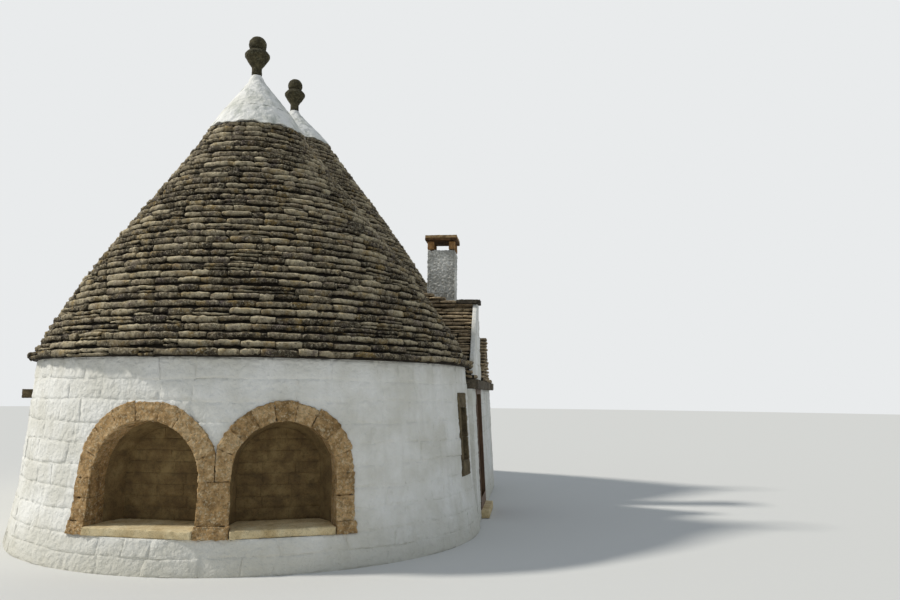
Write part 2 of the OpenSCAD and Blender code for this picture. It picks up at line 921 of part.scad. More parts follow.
// The frame lines the whole depth of the doorway, and its outer side follows the wall's lean
module door_frame() {
    color(timber) difference() {
        translate([0, door_y + passage_w / 2, 0]) rotate([90, 0, 0]) linear_extrude(passage_w)
            polygon([[frame_in_x, threshold_h], [front_face_x(threshold_h) + frame_proud, threshold_h],
                     [front_top_x + frame_proud, passage_z], [frame_in_x, passage_z]]);
        translate([frame_in_x - 1, door_y - passage_w / 2 + frame_w, threshold_h - 1])
            cube([front_foot_x - frame_in_x, passage_w - 2 * frame_w, passage_z - threshold_h - frame_w + 1]);
    }
}

module door_leaf() {
    color(timber) translate([leaf_out_x - leaf_t, leaf_y0, leaf_z0]) cube([leaf_t, leaf_w, leaf_h]);
}

left_niche_wall();
right_niche_wall();
window_wall();
passage_front_wall();
passage_back_wall();
front_left_wall();
left_wall();
rear_left_wall();
main_right_wall();
main_rear_right_wall();
main_rear_wall();
main_rear_left_wall();
main_left_wall();
entrance_wall_near();
entrance_wall_far();
passage_lintel();
cornice();
front_eaves();
front_cone();
front_cap();
front_cup();
front_ball();
main_eaves();
main_cone();
main_cap();
main_cup();
main_ball();
left_niche();
right_niche();
left_arch();
right_arch();
niche_pier();
left_sill();
right_sill();
window_surround();
window_casement();
window_pane();
waterspout();
floor();
threshold();
door_frame();
door_leaf();
gable_roof();
gable_wall();
gable_coping();
rear_gable_roof();
skirt_roof();
chimney_shaft();
chimney_corners();
chimney_cap();
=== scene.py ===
"""A trullo: two round dry-stone rooms under coursed stone cones with white caps and ball pinnacles."""
import math

import bmesh
import bpy
import numpy as np
from mathutils import Matrix, Vector


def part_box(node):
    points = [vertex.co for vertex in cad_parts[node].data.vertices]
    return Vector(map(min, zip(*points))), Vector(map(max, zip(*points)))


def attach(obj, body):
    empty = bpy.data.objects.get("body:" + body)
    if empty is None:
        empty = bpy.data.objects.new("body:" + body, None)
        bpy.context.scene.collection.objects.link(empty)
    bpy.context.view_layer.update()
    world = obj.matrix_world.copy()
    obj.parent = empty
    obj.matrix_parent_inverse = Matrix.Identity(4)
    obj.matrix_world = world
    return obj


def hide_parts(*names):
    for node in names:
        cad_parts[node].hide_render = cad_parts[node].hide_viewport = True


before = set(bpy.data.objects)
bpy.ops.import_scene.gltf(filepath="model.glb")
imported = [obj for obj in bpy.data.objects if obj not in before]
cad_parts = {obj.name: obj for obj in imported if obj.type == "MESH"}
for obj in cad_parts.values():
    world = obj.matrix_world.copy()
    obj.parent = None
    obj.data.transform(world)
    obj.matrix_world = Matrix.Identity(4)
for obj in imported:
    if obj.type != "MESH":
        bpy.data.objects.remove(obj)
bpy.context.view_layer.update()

# Round walls
# Limestone blocks laid dry in level courses about 24 cm high and limewashed every spring for generations.
# The coats have rounded the blocks and filled the joints, so only soft pillows and shallow grooves show.
WALL_TOP, FOOT_TOP = 2.26, 0.70
WALL_LEAN, FOOT_SPREAD = 0.11, 0.12
FRONT_AXIS, FRONT_REACH = (0.0, 0.0), 2.93
MAIN_AXIS, MAIN_REACH = (-1.12, 4.3687), 3.88
FRONT_RUN = (math.radians(-107), math.radians(97.6))
MAIN_RUN = (math.radians(101.9), math.radians(334))
LOW_COURSE, SILL_FOOT, WALL_COURSES = 0.185, 0.365, 8
COURSE_EDGES = [0.0, LOW_COURSE] + [
    SILL_FOOT + i * (WALL_TOP - SILL_FOOT) / WALL_COURSES for i in range(WALL_COURSES + 1)]
WALL_BLOCK = (0.42, 0.07, 0.24)   # length, depth and height, as for every block below
JOINT, CLOSE_JOINT = 0.002, 0.001   # left open at each end of a stone
WASH_PROUD = 0.004
SPLASH_HIGH = 0.45


def paint(hex_colour):
    """Turns an sRGB hex colour into the linear one that the nodes take."""
    parts = [int(hex_colour[i:i + 2], 16) / 255 for i in (1, 3, 5)]
    return [p / 12.92 if p <= 0.04045 else ((p + 0.055) / 1.055) ** 2.4 for p in parts] + [1.0]


def wire(tree, node, inputs):
    """Links a node's inputs to other nodes' outputs, or sets them."""
    for name, value in inputs.items():
        if isinstance(value, bpy.types.NodeSocket):
            tree.links.new(value, node.inputs[name])
        else:
            node.inputs[name].default_value = value


def add(tree, kind, inputs=None, stops=(), **settings):
    """Adds a node with its settings, its inputs and a ramp's stops."""
    made = tree.nodes.new(kind)
    for name, value in settings.items():
        setattr(made, name, value)
    wire(tree, made, inputs or {})
    for i, (at, colour) in enumerate(stops):
        stop = made.color_ramp.elements[i] if i < 2 else made.color_ramp.elements.new(at)
        stop.position, stop.color = at, paint(colour)
    return made


def new_finish(name):
    """Starts a material, and returns it with its nodes and its shader."""
    material = bpy.data.materials.new(name)
    material.use_nodes = True
    return material, material.node_tree, material.node_tree.nodes["Principled BSDF"]


def limewash_finish(name, clean, dull, stain, streak_share):
    """Chalky lime in many coats: brush ripples, small pits, grey rain streaks 11 cm wide, a splashed foot.

    The pits, 14 mm across, are drawn coarser than real ones, so that they show.
    """
    material, tree, shader = new_finish(name)
    place = add(tree, "ShaderNodeTexCoord").outputs["Object"]
    cloudy = add(tree, "ShaderNodeTexNoise", {"Vector": place, "Scale": 1000 / 420, "Detail": 5.0})
    coats = add(tree, "ShaderNodeValToRGB", {"Fac": cloudy.outputs["Fac"]}, [(0.38, dull), (0.62, clean)])
    stretched = add(tree, "ShaderNodeMapping", {"Vector": place, "Scale": (9.0, 9.0, 0.9)})
    streaks = add(tree, "ShaderNodeTexNoise", {
        "Vector": stretched.outputs["Vector"], "Scale": 1.0, "Detail": 7.0})
    streak_mask = add(tree, "ShaderNodeMapRange", {
        "Value": streaks.outputs["Fac"], "From Min": 0.5, "From Max": 0.72, "To Max": streak_share})
    streaked = add(tree, "ShaderNodeMix", {
        0: streak_mask.outputs["Result"], 6: coats.outputs["Color"], 7: paint(stain)}, data_type="RGBA")
    height = add(tree, "ShaderNodeSeparateXYZ", {"Vector": place}).outputs["Z"]
    near_ground = add(tree, "ShaderNodeMapRange", {
        "Value": height, "From Min": SPLASH_HIGH, "From Max": 0.0, "To Max": 0.75})
    splash = add(tree, "ShaderNodeMath", {
        0: near_ground.outputs["Result"], 1: cloudy.outputs["Fac"]}, operation="MULTIPLY")
    footed = add(tree, "ShaderNodeMix", {
        0: splash.outputs["Value"], 6: streaked.outputs[2], 7: paint("#A39E85")}, data_type="RGBA")
    ripples = add(tree, "ShaderNodeTexNoise", {
        "Vector": place, "Scale": 1000 / 60, "Detail": 5.0, "Roughness": 0.55})
    ripple_bump = add(tree, "ShaderNodeBump", {
        "Height": ripples.outputs["Fac"], "Distance": 0.034, "Strength": 0.9})
    pits = add(tree, "ShaderNodeTexNoise", {"Vector": place, "Scale": 1000 / 14, "Detail": 3.0})
    pit_bump = add(tree, "ShaderNodeBump", {
        "Height": pits.outputs["Fac"], "Distance": 0.004, "Strength": 0.6,
        "Normal": ripple_bump.outputs["Normal"]})
    wire(tree, shader, {"Base Color": footed.outputs[2], "Roughness": 0.88, "Specular IOR Level": 0.25,
                        "Normal": pit_bump.outputs["Normal"]})
    return material


def select_only(*objects):
    """Deselects everything else, and makes the first object the active one."""
    bpy.ops.object.select_all(action="DESELECT")
    for chosen in objects:
        chosen.select_set(True)
    if objects:
        bpy.context.view_layer.objects.active = objects[0]


def cut_block(long, deep, high, cuts_long, cuts_high, edge, chip, seed):
    """Models one block that faces +Y: a cube with its face's edges rounded, cut into a grid and chipped."""
    select_only()
    bpy.ops.mesh.primitive_cube_add(size=1, scale=(long, deep, high))
    bpy.ops.object.transform_apply(location=True, rotation=True, scale=True)
    block = bpy.context.object
    bpy.ops.object.mode_set(mode="EDIT")
    bpy.ops.mesh.select_mode(type="EDGE")
    bpy.ops.mesh.select_all(action="DESELECT")
    live = bmesh.from_edit_mesh(block.data)
    for side in live.edges:
        side.select_set(all(corner.co.y > 0 for corner in side.verts))
    bmesh.update_edit_mesh(block.data)
    bpy.ops.mesh.bevel(offset=edge, segments=1)
    bpy.ops.mesh.select_mode(type="FACE")
    for normal, span, cuts in (((1, 0, 0), long, cuts_long), ((0, 0, 1), high, cuts_high)):
        for i in range(1, cuts + 1):
            at = (i / (cuts + 1) - 0.5) * span
            bpy.ops.mesh.select_all(action="DESELECT")
            live = bmesh.from_edit_mesh(block.data)
            for side in live.faces:
                side.select_set(all(corner.co.y > 0 for corner in side.verts))
            bmesh.update_edit_mesh(block.data)
            bpy.ops.mesh.bisect(plane_co=tuple(at * n for n in normal), plane_no=normal)
    bpy.ops.mesh.select_mode(type="VERT")
    bpy.ops.mesh.select_all(action="SELECT")
    bpy.ops.transform.vertex_random(offset=chip, seed=seed)
    bpy.ops.object.mode_set(mode="OBJECT")
    return block


def lay(block, size, where, tone):
    """Copies a block with its own mesh, sends every corner to its place, and notes its tone and height."""
    long, deep, high = size
    mesh = block.data.copy()
    corners = np.empty(len(mesh.vertices) * 3)
    mesh.vertices.foreach_get("co", corners)
    x, y, z = corners.reshape(-1, 3).T
    placed = where(x / long + 0.5, y - deep / 2, z / high + 0.5)
    mesh.vertices.foreach_set("co", np.column_stack(placed).ravel())
    for name, values in (("tone", np.full(len(mesh.vertices), tone)), ("rise", z / high + 0.5)):
        mesh.attributes.new(name, "FLOAT", "POINT").data.foreach_set("value", values)
    copy = bpy.data.objects.new("laid", mesh)
    bpy.context.collection.objects.link(copy)
    return copy


def lay_any(rng, blocks, size, where):
    """Lays any one of the blocks, in any tone."""
    return lay(blocks[rng.integers(len(blocks))], size, where, rng.random())


def joined(parts, name, finish, smooth_angle, body="house"):
    """Joins laid blocks into one piece of a body, with every block's faces turned outwards."""
    select_only(*parts)
    bpy.ops.object.join()
    piece = bpy.context.object
    piece.name = name
    bpy.ops.object.mode_set(mode="EDIT")
    bpy.ops.mesh.select_all(action="SELECT")
    bpy.ops.mesh.normals_make_consistent(inside=False)
    bpy.ops.object.mode_set(mode="OBJECT")
    bpy.ops.object.shade_smooth_by_angle(angle=math.radians(smooth_angle))
    piece.data.materials.clear()
    piece.data.materials.append(finish)
    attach(piece, body)
    return piece


def roughened(piece, depth, grain, mid=0.5, kind="CLOUDS"):
    """Works a lumpy surface into a piece with a texture whose lumps are grain metres across."""
    bpy.context.view_layer.objects.active = piece
    cloud = bpy.data.textures.new(piece.name + "_grain", kind)
    cloud.noise_scale = grain
    bumps = piece.modifiers.new("Grain", "DISPLACE")
    bumps.texture, bumps.strength, bumps.mid_level, bumps.texture_coords = cloud, depth, mid, "LOCAL"
    bpy.ops.object.modifier_apply(modifier=bumps.name)
    return piece


def stone_ends(rng, start, end, short, long):
    """Divides one run into stones between short and long, and gives the two ends of each."""
    marks = [start]
    while end - marks[-1] > long:
        marks.append(marks[-1] + rng.uniform(short, long))
    if len(marks) > 1 and end - marks[-1] < short / 2:
        marks.pop()
    return list(zip(marks, marks[1:] + [end]))


def between(low, high, share, gap):
    """The place at a share of the way along a stone that leaves a gap at each end."""
    return low + gap + share * (high - low - 2 * gap)


def wall_reach(top_reach, z):
    """Distance of a round wall's face from its axis at height z."""
    lean = WALL_LEAN * np.clip((WALL_TOP - z) / (WALL_TOP - FOOT_TOP), 0, 1)
    return top_reach + lean + FOOT_SPREAD * np.clip(1 - z / FOOT_TOP, 0, 1)


def free_runs(start, end, gaps):
    """What is left of a run after the gaps."""
    runs = []
    for low, high in sorted(gaps):
        if low > start:
            runs.append((start, min(low, end)))
        start = max(start, high)
    return runs + ([(start, end)] if start < end else [])


# The niches by bearing, half width and height of the springing. A ring's left end stands lower by its drop.
# The facing stops behind the openings' own stones, and a square head has no springing below it.
LEFT_NICHE = {"bearing": math.radians(-4.4), "half": 0.63, "spring": 0.945, "drop": 0.0}
RIGHT_NICHE = {"bearing": math.radians(24.4), "half": 0.56, "spring": 1.015, "drop": 0.07}
WINDOW = {"bearing": math.radians(82), "half": 0.13}
ARCH_COVER, WINDOW_COVER = 0.17, 0.06
WINDOW_GAP_FOOT, WINDOW_GAP_HEAD = 0.83, 1.87


def arched(niche):
    """What a niche takes out of the facing: bearing, half width, foot, springing and head."""
    half = niche["half"] + ARCH_COVER
    return niche["bearing"], half, SILL_FOOT, niche["spring"], niche["spring"] + half


FRONT_OPENINGS = [arched(LEFT_NICHE), arched(RIGHT_NICHE), (
    WINDOW["bearing"], WINDOW["half"] + WINDOW_COVER, WINDOW_GAP_FOOT, WINDOW_GAP_HEAD, WINDOW_GAP_HEAD)]

# Lime over limestone: bright chalky white, a little greyer in patches and streaks, with no shine.
limewash = limewash_finish("limewash_on_limestone", "#F0EFE9", "#DFDDD3", "#B9B6A8", 0.18)
wall_blocks = [cut_block(*WALL_BLOCK, 10, 5, 0.009, 0.005, seed) for seed in range(8)]


def course_line(i, s, seed):
    """How far the bed joint under course i wanders at a length s along the wall, in two slow waves."""
    if i in (0, 2, len(COURSE_EDGES) - 1):
        return 0.0
    return 0.011 * np.sin(1.7 * s + 2.4 * i + seed) + 0.006 * np.sin(5.3 * s + 4.1 * i)


def opening_gaps(openings, reach, foot, head):
    """The bearings that the openings take out of one course."""
    gaps = []
    for bearing, half, low, spring, top in openings:
        if head > low + 0.01 and foot < top:
            rise = max(0.0, head - spring)
            round_half = half if top == spring else math.sqrt(max(0.0, half ** 2 - rise ** 2))
            if round_half > 0.05:
                gaps.append((bearing - round_half / reach, bearing + round_half / reach))
    return gaps


def pushed_clear(openings, reach, s, z):
    """Moves corners that fall inside an opening's round head out to its edge."""
    for bearing, half, low, spring, top in openings:
        if top > spring:
            ds, dz = s - bearing * reach, np.maximum(z - spring, 0)
            far = np.hypot(ds, dz)
            push = np.where((far < half) & (z > low), half / np.maximum(far, 0.01), 1)
            s, z = bearing * reach + ds * push, z + dz * (push - 1)
    return s, z


def round_wall(rng, axis, reach, wall_run, openings):
    """Faces a round wall with blocks, course by course, trimmed to the openings' stones."""
    laid = []
    for course, (foot, head) in enumerate(zip(COURSE_EDGES, COURSE_EDGES[1:])):
        for start, end in free_runs(*wall_run, opening_gaps(openings, reach, foot, head)):
            for low_s, high_s in stone_ends(rng, start * reach, end * reach, 0.24, 0.74):
                proud = WASH_PROUD + rng.uniform(-0.004, 0.005)
                tilt = rng.uniform(-0.010, 0.010)
                slant = rng.uniform(-0.035, 0.035)

                def where(along, out, up):
                    s = between(low_s, high_s, along, CLOSE_JOINT) + slant * (up - 0.5) * (2 * along - 1) ** 2
                    low_z = foot + course_line(course, s, reach)
                    high_z = head + course_line(course + 1, s, reach)
                    s, z = pushed_clear(openings, reach, s, between(low_z, high_z, up, JOINT))
                    r = wall_reach(reach, z) + proud + out + tilt * (along - 0.5)
                    return axis[0] + r * np.sin(s / reach), axis[1] - r * np.cos(s / reach), z

                laid.append(lay_any(rng, wall_blocks, WALL_BLOCK, where))
    return laid


for name, seed, axis, reach, wall_run, openings in (
        ("front_wall_blocks", 11, FRONT_AXIS, FRONT_REACH, FRONT_RUN, FRONT_OPENINGS),
        ("main_wall_blocks", 12, MAIN_AXIS, MAIN_REACH, MAIN_RUN, [])):
    facing = joined(round_wall(np.random.default_rng(seed), axis, reach, wall_run, openings),
                    name, limewash, 60)
    roughened(facing, 0.026, 0.055)


def dress(finish, *nodes):
    """Gives CAD nodes their finish."""
    for node in nodes:
        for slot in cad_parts[node].material_slots:
            slot.material = finish


dress(limewash, "left_niche_wall", "right_niche_wall", "window_wall", "passage_front_wall",
      "passage_back_wall", "front_left_wall", "left_wall", "rear_left_wall", "main_right_wall",
      "main_rear_right_wall", "main_rear_wall", "main_rear_left_wall", "main_left_wall")

# Entrance front
# A straight battered wall of the same limewashed blocks, built across the notch between the two round rooms.
# It has the only door, and its top is hidden by the cornice.
FRONT_NEAR_Y, FRONT_FAR_Y = 0.40, 5.1487
FRONT_FOOT_X, FRONT_TOP_X, FRONT_TOP = 3.12, 3.015, 1.96
DOOR_NEAR_Y, DOOR_FAR_Y = 1.05, 2.15   # the facing stops there, at the reveals of the doorway
ENTRANCE_COURSES = 8


def straight_wall(rng, along_range, z_edges, face_x, proud, gaps=(), outline=None):
    """Faces a wall that looks towards +X with blocks between two places along Y."""
    laid = []
    for foot, head in zip(z_edges, z_edges[1:]):
        start, end = along_range if outline is None else outline(head)
        for run_start, run_end in free_runs(start, end, gaps):
            for low_y, high_y in stone_ends(rng, run_start, run_end, 0.26, 0.56):
                out_by = proud + rng.uniform(-0.003, 0.004)

                def where(along, out, up):
                    z = between(foot, head, up, JOINT)
                    return face_x(z) + out_by + out, between(low_y, high_y, along, JOINT), z

                laid.append(lay_any(rng, wall_blocks, WALL_BLOCK, where))
    return laid


def front_face_x(z):
    """Where the battered face of the entrance front stands at height z."""
    return FRONT_FOOT_X + (FRONT_TOP_X - FRONT_FOOT_X) * z / FRONT_TOP


entrance_edges = np.linspace(0, FRONT_TOP, ENTRANCE_COURSES + 1)
entrance_facing = joined(
    straight_wall(np.random.default_rng(13), (FRONT_NEAR_Y, FRONT_FAR_Y), entrance_edges, front_face_x,
                  WASH_PROUD, [(DOOR_NEAR_Y, DOOR_FAR_Y)]),
    "entrance_wall_blocks", limewash, 60)
roughened(entrance_facing, 0.016, 0.07)
dress(limewash, "entrance_wall_near", "entrance_wall_far")

# Arches of the niches
# Rough stones of orange tufa cut to the curve, left bare of limewash, with tight dry joints.
# Both rings stand on one pitted pier block, and the jambs stand on base blocks beside the sills.
ARCH_WIDE, ARCH_DEEP, ARCH_PROUD, ARCH_BACK = 0.215, 0.33, 0.022, 2.708
ARCH_COUNT, ARCH_JOINT = 9, 0.0008   # the joint is an angle
DROP_FROM = 2.85   # the angle past which a ring's left end reaches down to the pier
PIER_BEARING, PIER_JOINT = math.radians(10.659), 0.0016
PIER_TOP, BASE_TOP, BASE_WIDE, BASE_PROUD = 0.945, 0.50, 0.24, 0.034
ARCH_BLOCK = (0.25, ARCH_DEEP, ARCH_WIDE)


def stone_finish(name, tints, patch_mm, crusts, pit_mm, pit_depth_mm, tone_share=0.0, painted_light_share=0.0):
    """Weathered stone: tints by stone and in patches, crusts in spots, pits darkened by painted shade,
    painted shade low on each block and a painted highlight along its top.

    The pits are drawn two or three times as wide and deep as real ones, so that they show.
    """
    material, tree, shader = new_finish(name)
    place = add(tree, "ShaderNodeTexCoord").outputs["Object"]
    patches = add(tree, "ShaderNodeTexNoise", {
        "Vector": place, "Scale": 1000 / patch_mm, "Detail": 6.0, "Roughness": 0.6}).outputs["Fac"]
    if tone_share:
        tone = add(tree, "ShaderNodeAttribute", attribute_name="tone").outputs["Fac"]
        spread = add(tree, "ShaderNodeMath", {
            0: tone, 1: tone_share, 2: -tone_share / 2}, operation="MULTIPLY_ADD")
        patches = add(tree, "ShaderNodeMath", {0: patches, 1: spread.outputs[0]}, operation="ADD").outputs[0]
    stops = list(zip((0.3, 0.5, 0.7), tints))
    colour = add(tree, "ShaderNodeValToRGB", {"Fac": patches}, stops).outputs["Color"]
    for i, (crust, share, crust_mm) in enumerate(crusts):
        spots = add(tree, "ShaderNodeTexNoise", {
            "Vector": place, "W": 5.0 * i, "Scale": 1000 / crust_mm, "Detail": 7.0, "Roughness": 0.65},
            noise_dimensions="4D")
        mask = add(tree, "ShaderNodeMapRange", {
            "Value": spots.outputs["Fac"], "From Min": 0.52, "From Max": 0.64, "To Max": share})
        colour = add(tree, "ShaderNodeMix", {
            0: mask.outputs["Result"], 6: colour, 7: paint(crust)}, data_type="RGBA").outputs[2]
    pits = add(tree, "ShaderNodeTexNoise", {
        "Vector": place, "Scale": 1000 / pit_mm, "Detail": 6.0, "Roughness": 0.7}).outputs["Fac"]
    shade = add(tree, "ShaderNodeMapRange", {
        "Value": pits, "From Min": 0.32, "From Max": 0.5, "To Min": 0.62, "To Max": 1.0}).outputs["Result"]
    # Painted light: darker towards each block's foot as painted shade, lighter towards its top as a painted
    # highlight.
    if painted_light_share:
        rise = add(tree, "ShaderNodeAttribute", attribute_name="rise").outputs["Fac"]
        painted_light = add(tree, "ShaderNodeMapRange", {
            "Value": rise, "From Min": 0.1, "From Max": 0.9,
            "To Min": 1.0 - painted_light_share, "To Max": 1.0 + painted_light_share / 3}).outputs["Result"]
        shade = add(tree, "ShaderNodeMath", {0: shade, 1: painted_light}, operation="MULTIPLY").outputs[0]
    shaded = add(tree, "ShaderNodeVectorMath", {0: colour, "Scale": shade}, operation="SCALE")
    bump = add(tree, "ShaderNodeBump", {"Height": pits, "Distance": pit_depth_mm / 1000, "Strength": 1.0})
    wire(tree, shader, {"Base Color": shaded.outputs[0], "Roughness": 0.92, "Specular IOR Level": 0.2,
                        "Normal": bump.outputs["Normal"]})
    return material


# Tufa, hewn: warm tan that changes from stone to stone, with grey and pale crusts and deep pits.
tufa = stone_finish("weathered_orange_tufa", ("#9C7C50", "#D0A974", "#EFCE9C"), 85,
                    [("#7A6A50", 0.6, 38), ("#F4E2BC", 0.75, 24)], 26, 48, tone_share=0.22)
arch_blocks = [cut_block(*ARCH_BLOCK, 13, 11, 0.007, 0.003, seed) for seed in range(20, 25)]


def niche_point(niche, out, side, z):
    """A place in a niche's own frame: outwards along its bearing, and to the right along the wall."""
    a = niche["bearing"]
    return out * np.sin(a) + side * np.cos(a), -out * np.cos(a) + side * np.sin(a), z


def from_face(side, z, proud, out, back):
    """Stretches a stone so that it stands proud of the wall's face and ends on the plane behind it."""
    share = -out / ARCH_DEEP
    face = np.sqrt(wall_reach(FRONT_REACH, z) ** 2 - side ** 2)
    return (1 - share) * (face + proud) + share * back


def kept_off_pier(niche, side, out):
    """Cuts a stone back to the joint over the pier, where the two rings meet."""
    if niche is LEFT_NICHE:
        return np.minimum(side, np.tan(PIER_BEARING - niche["bearing"] - PIER_JOINT) * out)
    return np.maximum(side, np.tan(PIER_BEARING - niche["bearing"] + PIER_JOINT) * out)


def arch_ring(rng, niche):
    """Lays the curved stones of one ring from its right springing to its left one."""
    laid = []
    marks = np.linspace(0, math.pi, ARCH_COUNT + 1)
    marks[1:-1] += rng.uniform(-0.03, 0.03, ARCH_COUNT - 1)
    for low, high in zip(marks, marks[1:]):
        proud = ARCH_PROUD + rng.uniform(-0.006, 0.008)
        wide = ARCH_WIDE + rng.uniform(-0.014, 0.018)

        def where(along, out, up):
            angle = between(low, high, along, ARCH_JOINT)
            reach = niche["half"] + up * wide
            side, z = reach * np.cos(angle), niche["spring"] + reach * np.sin(angle)
            z = z - niche["drop"] * np.clip((angle - DROP_FROM) / (math.pi - DROP_FROM), 0, 1)
            stands = from_face(side, z, proud, out, ARCH_BACK)
            return niche_point(niche, stands, kept_off_pier(niche, side, stands), z)

        laid.append(lay_any(rng, arch_blocks, ARCH_BLOCK, where))
    return laid


def dressed_stone(niche, side_range, z_range, proud, tone, kind, back=ARCH_BACK):
    """Lays one squared stone of a jamb or surround between two places along the wall."""
    def where(along, out, up):
        side, z = between(*side_range, along, JOINT), between(*z_range, up, JOINT)
        return niche_point(niche, from_face(side, z, proud, out, back), side, z)

    return lay(arch_blocks[kind], ARCH_BLOCK, where, tone)


def beside(opening, side, wide):
    """The two edges of the stones on one side of an opening."""
    return sorted((side * opening["half"], side * (opening["half"] + wide)))


def pier_stone(z_range, proud, tone):
    """Lays a stone as wide as the pier, between the jamb lines of the two openings."""
    def where(along, out, up):
        z = between(*z_range, up, JOINT)
        share = -out / ARCH_DEEP
        left_half, right_half = LEFT_NICHE["half"], RIGHT_NICHE["half"]
        r = (1 - share) * (wall_reach(FRONT_REACH, z) + proud) + share * np.hypot(ARCH_BACK, right_half)
        left = niche_point(LEFT_NICHE, np.sqrt(r ** 2 - left_half ** 2), left_half, z)
        right = niche_point(RIGHT_NICHE, np.sqrt(r ** 2 - right_half ** 2), -right_half, z)
        return tuple(a + (b - a) * along for a, b in zip(left, right))

    return lay(arch_blocks[0], ARCH_BLOCK, where, tone)


rng = np.random.default_rng(21)
arch_stones = arch_ring(rng, LEFT_NICHE) + arch_ring(rng, RIGHT_NICHE)
for niche, side, split, proud, kind in ((LEFT_NICHE, -1, 0.74, 0.026, 1), (RIGHT_NICHE, 1, 0.77, 0.024, 2)):
    for z_range in ((BASE_TOP, split), (split, niche["spring"])):
        edges = beside(niche, side, ARCH_WIDE)
        arch_stones.append(dressed_stone(niche, edges, z_range, proud, rng.random(), kind))
for niche, side, tone, kind in ((LEFT_NICHE, -1, 0.4, 3), (RIGHT_NICHE, 1, 0.3, 4)):
    edges = beside(niche, side, BASE_WIDE)
    arch_stones.append(dressed_stone(niche, edges, (SILL_FOOT, BASE_TOP), BASE_PROUD, tone, kind))
arch_stones.append(pier_stone((BASE_TOP, PIER_TOP), 0.022, 0.35))
arch_stones.append(pier_stone((SILL_FOOT, BASE_TOP), 0.036, 0.5))
arches = joined(arch_stones, "arch_stones", tufa, 50)
roughened(arches, 0.034, 0.040)
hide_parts("left_arch", "right_arch", "niche_pier")

# Niche linings
# Thin courses of cream limestone line the back of each niche, left bare behind the arch.
# They are dressed flatter than the walls, with close joints.
NICHE_BACK, NICHE_SPLAY, SILL_TOP, LINING_COURSES = 2.46, 0.09, 0.46, 8
LINING_BLOCK, LINING_PROUD = (0.30, 0.04, 0.13), 0.005
VAULT_GAP, LEAST_REACH = 0.004, 0.08   # what the courses leave under the vault, and the least that is laid

# Limestone, dressed and never washed: cream stone painted a dull brown as painted shade inside the niche,
# with soft earthy patches.
cream_stone = stone_finish("bare_cream_limestone", ("#66543A", "#806B48", "#98835A"), 170,
                           [("#5E5038", 0.5, 90)], 18, 6, tone_share=0.10)
lining_blocks = [cut_block(*LINING_BLOCK, 4, 2, 0.004, 0.0015, seed) for seed in range(30, 34)]


def niche_back(rng, niche):
    """Lays the level courses of a niche's back wall, trimmed to its round vault."""
    half = niche["half"] - NICHE_SPLAY
    laid = []
    levels = np.linspace(SILL_TOP, niche["spring"] + half, LINING_COURSES + 1)
    for foot, head in zip(levels, levels[1:]):
        rise = max(0.0, foot - niche["spring"])
        reach = math.sqrt(max(0.0, half ** 2 - rise ** 2))
        if reach < LEAST_REACH:
            continue
        for low, high in stone_ends(rng, -reach, reach, 0.22, 0.42):
            proud = LINING_PROUD + rng.uniform(-0.002, 0.002)

            def where(along, out, up):
                side, z = between(low, high, along, CLOSE_JOINT), between(foot, head, up, CLOSE_JOINT)
                over = np.maximum(z - niche["spring"], 0)
                pull = np.minimum(1, (half - VAULT_GAP) / np.maximum(np.hypot(side, over), 0.01))
                return niche_point(niche, NICHE_BACK + proud + out, side * pull, z - over * (1 - pull))

            laid.append(lay_any(rng, lining_blocks, LINING_BLOCK, where))
    return laid


left_back = niche_back(np.random.default_rng(31), LEFT_NICHE)
right_back = niche_back(np.random.default_rng(32), RIGHT_NICHE)
joined(left_back + right_back, "niche_back_courses", cream_stone, 50)

# The same limestone on the splayed sides and the vault, painted dull brown as the niche's shade: finer pits,
# no change from stone to stone.
lining_stone = stone_finish("bare_cream_limestone_lining", ("#6A583C", "#846F4C", "#9A865E"), 170,
                            [("#5E5038", 0.5, 90)], 18, 4)
dress(lining_stone, "left_niche", "right_niche")

# Sills
# One long slab of pale limestone closes the foot of each niche, bedded on the wall.
# Hands and weather have worn it smooth and rounded its front edge.

# Limestone, worn: a pale even straw colour with faint darker stains and hardly any pits.
sill_stone = stone_finish("pale_sill_limestone", ("#BDA67A", "#D8C59B", "#E6D8B3"), 200,
                          [("#9A8A68", 0.4, 70)], 14, 4)


def weathered(node, name, voxel, depth, grain, finish, kind="CLOUDS"):
    """Replaces a CAD solid with a worn copy: corners rounded by remeshing, and the surface eaten inwards."""
    piece = bpy.data.objects.new(name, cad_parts[node].data.copy())
    bpy.context.collection.objects.link(piece)
    select_only(piece)
    bpy.ops.object.mode_set(mode="EDIT")
    bpy.ops.mesh.select_all(action="SELECT")
    bpy.ops.mesh.remove_doubles(threshold=0.0001)
    bpy.ops.object.mode_set(mode="OBJECT")
    worn = piece.modifiers.new("Worn", "REMESH")
    worn.mode, worn.voxel_size = "VOXEL", voxel
    bpy.ops.object.modifier_apply(modifier=worn.name)
    roughened(piece, depth, grain, 0.9, kind)
    bpy.ops.object.shade_smooth()
    piece.data.materials.clear()
    piece.data.materials.append(finish)
    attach(piece, "house")
    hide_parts(node)
    return piece


weathered("left_sill", "left_sill_slab", 0.016, 0.012, 0.05, sill_stone)
weathered("right_sill", "right_sill_slab", 0.016, 0.012, 0.05, sill_stone)

# Window
# A narrow light with a surround of bare tufa: sill stone, two stones up each jamb, and a lintel.
# The casement is a plain dark timber frame with one pane, set deep in the wall.
SURROUND_WIDE, SURROUND_HIGH, SURROUND_BACK = 0.09, 0.20, 2.67
WINDOW_FOOT, WINDOW_HEAD, LEFT_SPLIT, RIGHT_SPLIT = 1.00, 1.70, 1.38, 1.30

